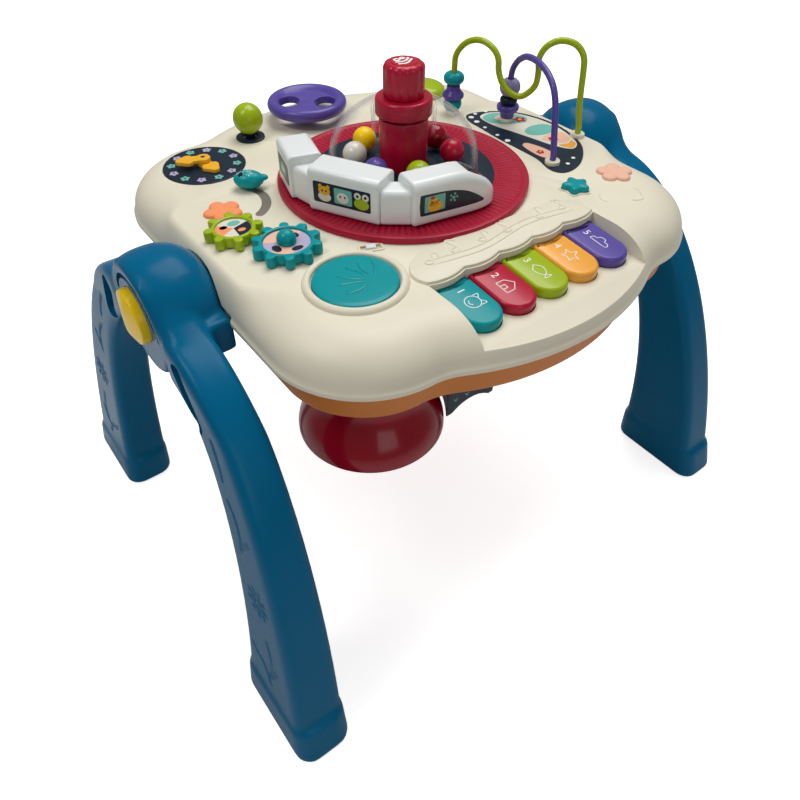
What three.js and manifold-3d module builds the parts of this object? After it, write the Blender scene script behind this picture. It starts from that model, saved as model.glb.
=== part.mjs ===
// Activity table for a small child: a lobed play deck with toys on top, carried on two leg arches.
// Millimetres, +Z up. The origin is on the floor under the middle of the deck.
// +X runs from the left arch to the right arch, +Y from the piano keys to the steering wheel.
import * as THREE from 'three';
import Module from 'manifold-3d';
import { mergeVertices } from 'three/addons/utils/BufferGeometryUtils.js';

const wasm = await Module();
wasm.setup();

// Shared clearances and sections
const GAP = 0.3;
const SLIP = 0.45;
const PLAY = 0.8;
const CUT = 1;
const WALL = 2.6;
const MERGE_DISTANCE = 1e-4;

// Deck outline, seen from above
const DECK_HALF_X = 163;
const DECK_HALF_Y = 180;
const LOBE_R = 65;
const LOBE_SHORT = 23.5;
const BULGE_R = 175;
const BULGE_HALF_SHARE = 0.694;
const BULGE_HANDLE_SHARE = 0.4;
const SIDE_SHARES = [0.39344, 0.54645, 0.6776, 0.8306];

// Deck section
const DECK_Z = 290;
const EDGE_RUN = 30;
const EDGE_RUN_HUB = 9;
const HUB_REACH = 44;
const HUB_BLEND = 30;
const EDGE_RISE = 23;
const LIP_DROP = 5;
const LIP_HEIGHT = 3.5;
const LIP_OUT = 1.6;

// Lower shell
const BASE_INSET = 6.2;
const BASE_DRAFT = 3;
const BASE_RIM_UP = 6;
const BASE_DEPTH = 25;
const BASE_ROUND = 5;

// Screw posts that join the two shells
const POST_IN = 35;
const POST_Y = 60;
const POST_R = 5;
const POST_BORE = 1.6;
const POST_SPLIT_Z = 252;

// Leg arches
const HUB_Z = 259;
const HUB_R = 40;
const HUB_SUNK = 6;
const HUB_WIDE = 47;
const HUB_EDGE = 5;
const HUB_DOME = 15;
const FOOT_IN_Y = 110.8;
const FOOT_OUT_Y = 199.1;
const FOOT_SPLAY = 29.8;
const FOOT_WIDE = 42.1;
const FOOT_HEIGHT = 30;
const FOOT_CORNER = 13;
const FOOT_STEP = 1.8;
const FOOT_LEAN = 8;
const LEG_PROUD = 0.8;
const LEG_TOP_WIDE = 28.8;
const LEG_KNEE_Z = 226;
const LEG_ROUND = 5;
const SADDLE_HALF_Y = 45;
const SADDLE_LOW = 15;
const SADDLE_HIGH = 9;
const SLOT_MID_Y = 60.5;
const SLOT_DROP = 12;
const SLOT_LONG = 50;
const SLOT_WIDE = 12;
const SLOT_DEEP = 9;
const SLOT_TURN = -63;
const LEG_OUTER_SHARES = [[0.2, 1.04], [0.613, 1.01], [0.844, 0.52], [0.945, 0.085]];
const LEG_INNER_SHARES = [[0.18, 0.896], [0.462, 0.857], [0.583, 0.463], [0.575, 0.085]];
const LEG_STEPS = 7;

// Yellow lock knobs on the hubs
const LOCK_R = 18;
const LOCK_UP = 3;
const LOCK_THICK = 8;
const LOCK_SUNK = 3;
const LOCK_RIDGE = 3.5;
const LOCK_RIDGE_HALF = 4;
const LOCK_SHAFT_R = 5;
const LOCK_SHAFT = 18;

// Turntable and its train
const TABLE_R = 88;
const TABLE_BORE = 46;
const TABLE_THICK = 4.2;
const TRACK_RIM = 4.5;
const CAR_WIDE = 23;
const CAR_HIGH = 27;
const CAR_BEVEL = 3;
const COACH_LONG = 50;
const COACH_AT = [-58.5, -22.4, -62];
const ENGINE_LONG = 64;
const ENGINE_AT = [-7.6, -59, -10];
const REAR_LONG = 32;
const REAR_AT = [-67.6, 24.6, -106];
const BELLOWS_LONG = 16;
const FRONT_BELLOWS_AT = [-43.1, -49.1, -38];
const REAR_BELLOWS_AT = [-71.3, 5.6, -82];
const BELLOWS_IN = 3.2;
const BELLOWS_SINK = 6;
const NOSE_FULL = 0.72;
const NOSE_LOW = 0.3;
const NOSE_PLAN = 0.88;

// Ball popper
const RING_R = 63.7;
const RING_THICK = 1.2;
const FLOOR_R = 46.8;
const TRAY_THICK = 3.6;
const TRAY_OUT_R = 49;
const DOME_R = 52;
const DOME_WALL = 1.8;
const DOME_SHOULDER_UP = 9.7;
const WELL_R = 22;
const WELL_RIM_UP = 46.7;
const WELL_DEEP = 19;
const COLUMN_R = 16.5;
const COLUMN_BELOW_RIM = 12;
const COLUMN_WALL = 2.4;
const COLLAR_R = 19;
const COLLAR_OVER = 5;
const COLLAR_HIGH = 11;
const KNOB_R = 14;
const KNOB_HIGH = 21.2;
const KNOB_STEM_R = 5;
const KNOB_TRAVEL = 10;
const KNOB_RIB = 0.6;
const SPRING_R = 9.5;
const SPRING_WIRE = 1.6;
const BALL_R = 8.6;
const BALL_ORBIT_R = 33.5;
const BALLS = [
  ['yellow_ball', 108, 0xe9b51c],
  ['white_ball', 150, 0xd9d6c6],
  ['purple_ball', 200, 0x5b4a9e],
  ['lime_ball', 250, 0xa3b81c],
  ['red_ball', 325, 0xb01e42],
  ['crimson_ball', 10, 0x8f1c34],
];

// Piano keys in a sloping pocket
const POCKET_X = 2;
const POCKET_HALF_X = 69.5;
const POCKET_BACK_Y = -112;
const POCKET_LONG = 96;
const POCKET_HIGH = 40;
const POCKET_FLOOR_Z = 279.5;
const POCKET_SLOPE = 5;
const SCALLOP = 3;
const KEY_PITCH = 26.8;
const KEY_WIDE = 25.8;
const KEY_LONG = 41.5;
const KEY_NOSE = 13;
const KEY_UP = 6.6;
const KEY_DOWN = 7;
const KEY_ROUND = 2.4;
const KEY_BACK_GAP = 1.4;
const KEY_AXLE_R = 1.5;
const KEY_AXLE_Y = 6.5;
const KEY_AXLE_UP = 1;
const KEY_AXLE_END = 5;
const KEY_SLOT = 0.6;
const KEY_COLOURS = [0x128c92, 0xb01e42, 0xa3b81c, 0xf3a63a, 0x53409b];

// Drum pad and the bell under it
const DRUM_X = -99;
const DRUM_Y = -85;
const DRUM_R = 25.6;
const DRUM_UP = 2.4;
const DRUM_DOWN = 7;
const DRUM_RING_IN = 27;
const DRUM_RING_OUT = 30.8;
const DRUM_RING_UP = 1.2;
const BELL_X = -94;
const BELL_Y = -89;
const BELL_R = 49.7;
const BELL_WAIST_R = 35;
const BELL_RIM_Z = 177;
const BELL_WAIST_Z = 216;
const BELL_WALL = 2.6;

// Clock
const CLOCK_X = -104.7;
const CLOCK_Y = 100.2;
const CLOCK_R = 29.4;
const CLOCK_SUNK = 1.5;
const CLOCK_PLATE = 1.7;
const CLOCK_PIN_R = 2;
const HAND_THICK = 2.6;
const HAND_WIDE = 7.5;
const HOUR_LONG = 14;
const MINUTE_LONG = 17;
const HAND_HUB_R = 5;
const HOUR_TURN = -82;
const MINUTE_TURN = 163;

// Picture panel beside the beads
const PANEL_EDGE = [
  [106, 53], [99, 43], [97.5, 26], [96, 4], [96, -17], [95.5, -37], [91, -54], [94, -63], [103, -65], [116, -61],
  [130, -51], [141, -38], [148, -20], [150.5, 0], [147, 20], [138, 37], [122, 49],
];
const PANEL_STEPS = 32;
const PANEL_THICK = 1.4;

// Bead wires, each in an upright plane from its right base to its left base
const WIRE_R = 2.3;
const WIRE_SIDES = 6;
const WIRE_DEEP = 6;
const GREEN_RIGHT = [148, -28];
const GREEN_LEFT = [99, 64];
const GREEN_SPAN_HEIGHT = 65;
const GREEN_BOW = 9;
const GREEN_SHARES = [
  [0, 0], [0, 0.06], [0, 0.12], [0.018, 0.3], [0.03, 0.5], [0.039, 0.74], [0.05, 0.87], [0.085, 0.96], [0.14, 1.015],
  [0.214, 1.03], [0.276, 1], [0.325, 0.93], [0.35, 0.82], [0.342, 0.69], [0.35, 0.54], [0.4, 0.437], [0.455, 0.394],
  [0.52, 0.415], [0.592, 0.505], [0.632, 0.626], [0.645, 0.757], [0.686, 0.842], [0.76, 0.895], [0.839, 0.897],
  [0.914, 0.85], [0.968, 0.765], [0.995, 0.68], [1, 0.6], [1, 0.4], [1, 0.2], [1, 0.1], [1, 0],
];
const PURPLE_RIGHT = [99.5, -48.5];
const PURPLE_LEFT = [124, 26];
const PURPLE_SPAN_HEIGHT = 58;
const PURPLE_SHARES = [
  [0, 0], [0, 0.06], [0, 0.12], [0.036, 0.31], [0.082, 0.57], [0.125, 0.74], [0.205, 0.87], [0.345, 0.96], [0.53, 0.99],
  [0.72, 0.96], [0.85, 0.88], [0.93, 0.79], [0.98, 0.7], [1, 0.6], [1, 0.4], [1, 0.2], [1, 0.1], [1, 0],
];
const WIRE_POINTS = 44;
const WIRE_BOSS_R = 5.5;
const WIRE_BOSS_UP = 3;

// Beads on the straight left ends of the wires
const BEAD_BORE = 2.8;
const BEAD_STEPS = 14;
const CUP_LOW_R = 5.5;
const CUP_HIGH_R = 9;
const CUP_HIGH = 10;
const BARREL_BEAD_R = 7.5;
const BARREL_BEAD_HIGH = 9;
const OBLATE_R = 8.5;
const OBLATE_HIGH = 9.5;
const RING_BEAD_R = 7;
const RING_BEAD_HIGH = 6;
const ROSETTE_R = 8;
const ROSETTE_SPIKE = 1.6;
const ROSETTE_HIGH = 13;

// Gears on the left of the deck
const LIME_GEAR = [-132, 0.2];
const LIME_ROOT_R = 13.4;
const LIME_TEETH = 8;
const TEAL_GEAR = [-113.6, -33.2];
const TEAL_ROOT_R = 16.7;
const TEAL_TEETH = 10;
const TOOTH_R = 3;
const TOOTH_OUT = 2.2;
const TOOTH_SINK = 1.2;
const GEAR_THICK = 7.4;
const GEAR_DISH = 2.2;
const GEAR_RIM = 1.8;
const GEAR_POST_R = 2.8;
const GEAR_POST_UP = 4.2;
const GEAR_KNOB_R = 6.1;
const GEAR_KNOB_UP = 2.6;
const GEAR_KNOB_FOOT_R = 4;

// Sliding head on its arc slot
const ARC_X = -118;
const ARC_Y = 39;
const ARC_R = 26.3;
const ARC_FROM = -62;
const ARC_TO = 30;
const ARC_WIDE = 6.4;
const HEAD_AT = 26;
const HEAD_TURN = -37;
const HEAD_LONG = 10.4;
const HEAD_WIDE = 6.6;
const HEAD_TALL = 4.6;
const HEAD_STEM_R = 2.4;
const ARM_THICK = 2;
const ARM_WIDE = 7;
const ARM_DROP = 4.5;
const PIVOT_R = 2.6;

// Gear stick
const STICK_X = -55.8;
const STICK_Y = 121;
const STICK_BALL_R = 11.4;
const STICK_BALL_UP = 15.5;
const STICK_STEM_R = 3.6;
const STICK_PIVOT_R = 7;
const STICK_PIVOT_DROP = 6;
const SOCKET_IN_R = 8.5;
const SOCKET_OUT_R = 12.5;
const SOCKET_THICK = 1.4;

// Steering wheel
const WHEEL_X = 0;
const WHEEL_Y = 127;
const WHEEL_R = 31.5;
const WHEEL_THICK = 9;
const WHEEL_UP = 7;
const WHEEL_TURN = -37;
const WHEEL_HOLE_AT = 14;
const WHEEL_HOLE_LONG = 6;
const WHEEL_HOLE_WIDE = 4;
const WHEEL_SHAFT_R = 7;
const WHEEL_SHAFT_DOWN = 8;
const WHEEL_FLANGE_R = 12;

// Small pieces on the deck
const STAR_X = 85;
const STAR_Y = -84.5;
const STAR_R = 8.2;
const STAR_WAVE = 1.5;
const STAR_UP = 5;
const STAR_DOWN = 6;
const LIME_CAP_X = 106;
const LIME_CAP_Y = 112;
const LIME_CAP_R = 19;
const LIME_CAP_UP = 9;
const LIME_CAP_SHARES = [[1, 0.33], [0.86, 0.72], [0.5, 0.96], [0, 1]];
const ORANGE_FLOWER = [-124.2, 31.8];
const PEACH_FLOWER = [124, -86];
const FLOWER_R = 13.4;
const FLOWER_WAVE = 4.6;
const FLOWER_THICK = 2;
const FLOWER_SUNK = 0.8;
const SWITCH_X = -71.2;
const SWITCH_Y = -61;
const SWITCH_TURN = -22;
const SWITCH_LONG = 6;
const SWITCH_UP = 2;
const SWITCH_SLOT_LONG = 13;
const SWITCH_SLOT_WIDE = 5;

// Inside the case and under it
const BOARD_X = 128;
const BOARD_Y = 46;
const BOARD_THICK = 1.6;
const BOARD_IN = 60;
const BOARD_Z = 258;
const BOARD_POST_R = 4;
const SPEAKER_X = 92;
const SPEAKER_Y = -78;
const SPEAKER_R = 24;
const SPEAKER_HIGH = 13;
const BATTERY_LOW_X = -55;
const BATTERY_HIGH_X = -11;
const BATTERY_LOW_Y = -122;
const BATTERY_HIGH_Y = -60;
const BATTERY_LOW_Z = 179;
const BATTERY_ARCH_R = 26;
const BATTERY_ARCH_UP = 8;

// Colours and finishes
const CREAM = { color: 0xe8e2c8, roughness: 0.45, metalness: 0 };
const ORANGE = { color: 0xc8732d, roughness: 0.45, metalness: 0 };
const BLUE = { color: 0x005c87, roughness: 0.35, metalness: 0 };
const YELLOW = { color: 0xf5c80a, roughness: 0.35, metalness: 0 };
const CRIMSON = { color: 0xaf1e3c, roughness: 0.3, metalness: 0 };
const NAVY = { color: 0x14283c, roughness: 0.4, metalness: 0 };
const LIME = { color: 0x96b414, roughness: 0.35, metalness: 0 };
const TEAL = { color: 0x0f8c8c, roughness: 0.35, metalness: 0 };
const PURPLE = { color: 0x554696, roughness: 0.35, metalness: 0 };
const LILAC = { color: 0x8a80ad, roughness: 0.45, metalness: 0 };
const WHITE = { color: 0xebeeec, roughness: 0.25, metalness: 0 };
const PEACH = { color: 0xf0af91, roughness: 0.55, metalness: 0 };
const SALMON = { color: 0xfa9b64, roughness: 0.55, metalness: 0 };
const STEEL = { color: 0xb8bcc0, roughness: 0.3, metalness: 1 };
const BOARD_GREEN = { color: 0x1f5a38, roughness: 0.6, metalness: 0 };
const CLEAR = { color: 0xe8f0f2, roughness: 0.05, metalness: 0, transparent: true, opacity: 0.3 };

const QUARTER = Math.PI / 2;
const TURN = 2 * Math.PI;
const radians = THREE.MathUtils.degToRad;

// Levels that follow from the sizes above
const deckUnder = DECK_Z - WALL;
const edgeBase = DECK_Z - EDGE_RISE;
const lipZ = edgeBase - LIP_DROP;
const baseZ = lipZ - BASE_DEPTH;
const baseFloor = baseZ + WALL;
const tableLow = DECK_Z + GAP;
const tableTop = tableLow + TABLE_THICK;
const ringTop = tableTop + GAP + RING_THICK;
const trayTop = ringTop + GAP + TRAY_THICK;
const carLow = tableTop + GAP;
const carTop = ringTop + GAP + CAR_HIGH;
const lobeX = DECK_HALF_X - LOBE_R;
const hubInnerX = DECK_HALF_X - HUB_SUNK;
const hubFaceX = hubInnerX + HUB_WIDE;
const legTopOutX = hubFaceX + LEG_PROUD;
const legTopInX = legTopOutX - LEG_TOP_WIDE;
const footOutX = hubFaceX + FOOT_SPLAY;
const footInX = footOutX - FOOT_WIDE;
const boardMidY = BOARD_IN - DECK_HALF_Y;
const lobeY = DECK_HALF_Y - LOBE_SHORT - LOBE_R;
const domeFoot = ringTop + GAP;
const domeShoulder = domeFoot + DOME_SHOULDER_UP;
const wellRim = domeFoot + WELL_RIM_UP;
const wellLow = wellRim - WELL_DEEP;
const columnTop = wellRim - COLUMN_BELOW_RIM;
const collarLow = columnTop + COLLAR_OVER;
const collarTop = collarLow + COLLAR_HIGH;
const knobTop = collarTop + GAP + KNOB_HIGH;
const stickHoleR = Math.sqrt(STICK_PIVOT_R ** 2 - (STICK_PIVOT_DROP - WALL) ** 2) + SLIP;

// Solids from geometry: shared corners are merged, empty triangles are dropped and faces point out
function toSolid(geometry) {
  const bare = new THREE.BufferGeometry();
  bare.setAttribute('position', geometry.getAttribute('position').clone());
  if (geometry.index) bare.setIndex(geometry.index.clone());
  const merged = mergeVertices(bare, MERGE_DISTANCE);
  const index = merged.index.array;
  const kept = [];
  for (let i = 0; i < index.length; i += 3) {
    const [a, b, c] = [index[i], index[i + 1], index[i + 2]];
    if (a !== b && b !== c && c !== a) kept.push(a, b, c);
  }
  const position = merged.getAttribute('position').array;
  if (signedVolume(position, kept) < 0) kept.reverse();
  return new wasm.Manifold(new wasm.Mesh({
    numProp: 3,
    vertProperties: new Float32Array(position),
    triVerts: new Uint32Array(kept),
  }));
}

function signedVolume(position, index) {
  const corner = (i) => new THREE.Vector3().fromArray(position, 3 * i);
  let volume = 0;
  for (let i = 0; i < index.length; i += 3) {
    volume += corner(index[i]).dot(corner(index[i + 1]).cross(corner(index[i + 2])));
  }
  return volume;
}

function fromSolid(solid) {
  const { vertProperties, triVerts } = solid.getMesh();
  const geometry = new THREE.BufferGeometry();
  geometry.setAttribute('position', new THREE.BufferAttribute(vertProperties, 3));
  geometry.setIndex(new THREE.BufferAttribute(triVerts, 1));
  return geometry;
}

function join(first, ...others) {
  return fromSolid(others.reduce((solid, other) => solid.add(toSolid(other)), toSolid(first)));
}

function cut(first, ...others) {
  return fromSolid(others.reduce((solid, other) => solid.subtract(toSolid(other)), toSolid(first)));
}

function meet(first, second) {
  return fromSolid(toSolid(first).intersect(toSolid(second)));
}

// Basic forms, all standing along +Z
function lathe(profile, steps = 24) {
  const points = profile.map(([r, z]) => new THREE.Vector2(r, z));
  return new THREE.LatheGeometry(points, steps).rotateX(QUARTER);
}

function cylinder(radius, low, high, steps = 16) {
  return lathe([[0, low], [radius, low], [radius, high], [0, high]], steps);
}

function tube(inner, outer, low, high, steps = 24) {
  return lathe([[inner, low], [outer, low], [outer, high], [inner, high], [inner, low]], steps);
}

function prism(shape, low, high, curveSegments = 6) {
  const options = { depth: high - low, bevelEnabled: false, curveSegments };
  return new THREE.ExtrudeGeometry(shape, options).translate(0, 0, low);
}

function pillow(shape, low, high, round, curveSegments = 6, segments = 1) {
  const options = {
    depth: high - low - 2 * round, bevelEnabled: true, bevelThickness: round, bevelSize: round,
    bevelOffset: -round, bevelSegments: segments, curveSegments,
  };
  return new THREE.ExtrudeGeometry(shape, options).translate(0, 0, low + round);
}

function block(lowX, highX, lowY, highY, lowZ, highZ) {
  return new THREE.BoxGeometry(highX - lowX, highY - lowY, highZ - lowZ)
    .translate((lowX + highX) / 2, (lowY + highY) / 2, (lowZ + highZ) / 2);
}

function sphere(radius, across = 16, down = 10) {
  return new THREE.SphereGeometry(radius, across, down).rotateX(QUARTER);
}

function waveShape(radius, wave, count, steps = 4) {
  const total = count * steps;
  const points = Array.from({ length: total }, (_, i) => {
    const angle = (TURN * i) / total;
    const r = radius + wave * Math.cos(count * angle);
    return new THREE.Vector2(r * Math.cos(angle), r * Math.sin(angle));
  });
  return new THREE.Shape(points);
}

function petalShape(radius, depth, count, steps = 6) {
  const total = count * steps;
  const points = Array.from({ length: total }, (_, i) => {
    const angle = (TURN * i) / total;
    const r = radius - depth * (1 - Math.abs(Math.cos((count * angle) / 2)));
    return new THREE.Vector2(r * Math.cos(angle), r * Math.sin(angle));
  });
  return new THREE.Shape(points);
}

// A body through stacked outlines with the same number of points
function loft(rings) {
  const count = rings[0].points.length;
  const position = rings.flatMap(({ points, z }) => points.flatMap((p) => [p.x, p.y, z]));
  const index = [];
  for (let ring = 0; ring + 1 < rings.length; ring += 1) {
    for (let i = 0; i < count; i += 1) {
      const a = ring * count + i;
      const b = ring * count + ((i + 1) % count);
      index.push(a, b, b + count, a, b + count, a + count);
    }
  }
  const top = (rings.length - 1) * count;
  const below = THREE.ShapeUtils.triangulateShape(rings[0].points, []);
  const above = THREE.ShapeUtils.triangulateShape(rings[rings.length - 1].points, []);
  below.forEach(([a, b, c]) => index.push(a, c, b));
  above.forEach(([a, b, c]) => index.push(top + a, top + b, top + c));
  const geometry = new THREE.BufferGeometry();
  geometry.setAttribute('position', new THREE.Float32BufferAttribute(position, 3));
  geometry.setIndex(index);
  return geometry;
}

const group = new THREE.Group();

function addPiece(name, geometry, finish, place = [0, 0, 0], parent = group) {
  const clean = fromSolid(toSolid(geometry));
  clean.computeVertexNormals();
  const piece = new THREE.Mesh(clean, new THREE.MeshStandardMaterial(finish));
  piece.name = name;
  piece.position.set(...place);
  parent.add(piece);
  return piece;
}

// Deck outline: one quarter, mirrored into four
function deckQuarter() {
  const bulgeY = DECK_HALF_Y - BULGE_R;
  const start = Math.acos((lobeX * BULGE_HALF_SHARE) / BULGE_R);
  const bulgeX = BULGE_R * Math.cos(start);
  const bulgeTop = bulgeY + BULGE_R * Math.sin(start);
  const handle = (lobeX - bulgeX) * BULGE_HANDLE_SHARE;
  const path = new THREE.Path();
  path.moveTo(DECK_HALF_X, 0);
  SIDE_SHARES.forEach((share) => path.lineTo(DECK_HALF_X, lobeY * share));
  path.lineTo(DECK_HALF_X, lobeY);
  path.absarc(lobeX, lobeY, LOBE_R, 0, QUARTER, false);
  path.bezierCurveTo(
    lobeX - handle, lobeY + LOBE_R,
    bulgeX + handle * Math.sin(start), bulgeTop - handle * Math.cos(start),
    bulgeX, bulgeTop,
  );
  path.absarc(0, bulgeY, BULGE_R, start, QUARTER, false);
  return path.getPoints(4);
}

function fourQuarters(quarter) {
  const flip = (p, x, y) => new THREE.Vector2(p.x * x, p.y * y);
  const back = quarter.slice(0, -1).reverse();
  return [
    ...quarter.slice(1),
    ...back.map((p) => flip(p, -1, 1)),
    ...quarter.slice(1).map((p) => flip(p, -1, -1)),
    ...back.map((p) => flip(p, 1, -1)),
  ];
}

const outline = fourQuarters(deckQuarter());

// A counter-clockwise outline moved inwards
function moveIn(points, insetAt) {
  const count = points.length;
  return points.map((p, i) => {
    const inset = typeof insetAt === 'function' ? insetAt(p) : insetAt;
    const before = points[(i + count - 1) % count];
    const after = points[(i + 1) % count];
    const along = after.clone().sub(before).normalize();
    return new THREE.Vector2(p.x - along.y * inset, p.y + along.x * inset);
  });
}

function deckOutline(inset) {
  return moveIn(outline, inset);
}

// The rounding is short beside the hubs and wide on the lobes
function edgeRun(p) {
  const share = THREE.MathUtils.smoothstep(Math.abs(p.y), HUB_REACH, HUB_REACH + HUB_BLEND);
  return THREE.MathUtils.lerp(EDGE_RUN_HUB, EDGE_RUN, share);
}

function edgeRings(wall) {
  const steps = 4;
  return Array.from({ length: steps + 1 }, (_, i) => {
    const angle = (QUARTER * i) / steps;
    return {
      points: deckOutline((p) => LIP_OUT + wall + edgeRun(p) * (1 - Math.cos(angle))),
      z: edgeBase + EDGE_RISE * Math.sin(angle) - wall,
    };
  });
}

function deckBody() {
  return loft([
    { points: deckOutline(0), z: lipZ },
    { points: deckOutline(0), z: lipZ + LIP_HEIGHT },
    ...edgeRings(0),
  ]);
}

function deckHollow() {
  return loft([{ points: deckOutline(LIP_OUT + WALL), z: lipZ - CUT }, ...edgeRings(WALL)]);
}

// Frame of the key pocket: its floor slopes down towards the child
function inPocket(geometry) {
  return geometry.rotateX(radians(POCKET_SLOPE)).translate(POCKET_X, POCKET_BACK_Y, POCKET_FLOOR_Z);
}

function pocketShape(grow) {
  const half = POCKET_HALF_X + grow;
  const pitch = (2 * half) / KEY_COLOURS.length;
  const shape = new THREE.Shape();
  shape.moveTo(-half, -POCKET_LONG);
  shape.lineTo(half, -POCKET_LONG);
  shape.lineTo(half, grow);
  for (let i = 1; i <= KEY_COLOURS.length; i += 1) {
    const x = half - i * pitch;
    shape.quadraticCurveTo(x + pitch / 2, grow - 2 * SCALLOP, x, grow);
  }
  return shape;
}

function pocketTool(grow) {
  return inPocket(prism(pocketShape(grow), -grow, POCKET_HIGH, 4));
}

function keyShape(grow) {
  const half = KEY_WIDE / 2 + grow;
  const back = grow - KEY_BACK_GAP;
  const straight = KEY_NOSE - KEY_LONG;
  const shape = new THREE.Shape();
  shape.moveTo(half, back);
  shape.quadraticCurveTo(0, back - 2 * SCALLOP, -half, back);
  shape.lineTo(-half, straight);
  shape.absellipse(0, straight, half, KEY_NOSE + grow, Math.PI, TURN, false);
  return shape;
}

const keyCentres = KEY_COLOURS.map((_, i) => (i - (KEY_COLOURS.length - 1) / 2) * KEY_PITCH);

function keyWells() {
  return keyCentres.map((x) => inPocket(
    prism(keyShape(KEY_SLOT), -WALL - CUT - SCALLOP, CUT, 5).translate(x, 0, 0),
  ));
}

function axleRod(radius, half) {
  const rod = cylinder(radius, -half, half, 12).rotateY(QUARTER);
  return inPocket(rod.translate(0, -KEY_AXLE_Y, KEY_AXLE_UP));
}

// Cutting tools for what sits in the deck
function hole(x, y, radius, steps = 20) {
  return cylinder(radius, deckUnder - CUT - SCALLOP, DECK_Z + CUT, steps).translate(x, y, 0);
}

function arcSlot(radius, width, from, to, low, high) {
  const start = radians(from);
  const end = radians(to);
  const shape = new THREE.Shape();
  shape.absarc(0, 0, radius + width / 2, start, end, false);
  shape.absarc(radius * Math.cos(end), radius * Math.sin(end), width / 2, end, end + Math.PI, false);
  shape.absarc(0, 0, radius - width / 2, end, start, true);
  shape.absarc(radius * Math.cos(start), radius * Math.sin(start), width / 2, start + Math.PI, start + TURN, false);
  return prism(shape, low, high, 6).translate(ARC_X, ARC_Y, 0);
}

function panelTool(grow) {
  const curve = new THREE.CatmullRomCurve3(PANEL_EDGE.map(([x, y]) => new THREE.Vector3(x, y, 0)), true);
  const points = curve.getPoints(PANEL_STEPS).slice(1).map((p) => new THREE.Vector2(p.x, p.y));
  return prism(new THREE.Shape(moveIn(points, -grow)), deckUnder, DECK_Z + CUT);
}

// The top layer of the deck, as thick as asked for
function deckSkin(thick) {
  return cut(deckBody(), deckBody().translate(0, 0, -thick));
}

function switchSlot(low, high, grow) {
  return block(
    -SWITCH_SLOT_LONG / 2 - grow, SWITCH_SLOT_LONG / 2 + grow,
    -SWITCH_SLOT_WIDE / 2 - grow, SWITCH_SLOT_WIDE / 2 + grow, low, high,
  ).rotateZ(radians(SWITCH_TURN)).translate(SWITCH_X, SWITCH_Y, 0);
}

function hubClearance() {
  return [-1, 1].flatMap((side) => [
    lathe([[0, 0], [HUB_R + PLAY, 0], [HUB_R + PLAY, footOutX], [0, footOutX]], 32)
      .rotateY(side * QUARTER).translate(side * (hubInnerX - PLAY), 0, HUB_Z),
    block(hubInnerX - PLAY, footOutX, -SADDLE_HALF_Y - PLAY, SADDLE_HALF_Y + PLAY,
      baseZ - CUT, HUB_Z + SADDLE_HIGH + PLAY)
      .scale(side, 1, 1),
  ]);
}

function posts(low, high, radius) {
  return [-1, 1].flatMap((x) => [-1, 1].map(
    (y) => cylinder(radius, low, high, 12).translate(x * (DECK_HALF_X - POST_IN), y * POST_Y, 0),
  ));
}

const wireEnds = [GREEN_RIGHT, GREEN_LEFT, PURPLE_RIGHT, PURPLE_LEFT];

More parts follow.
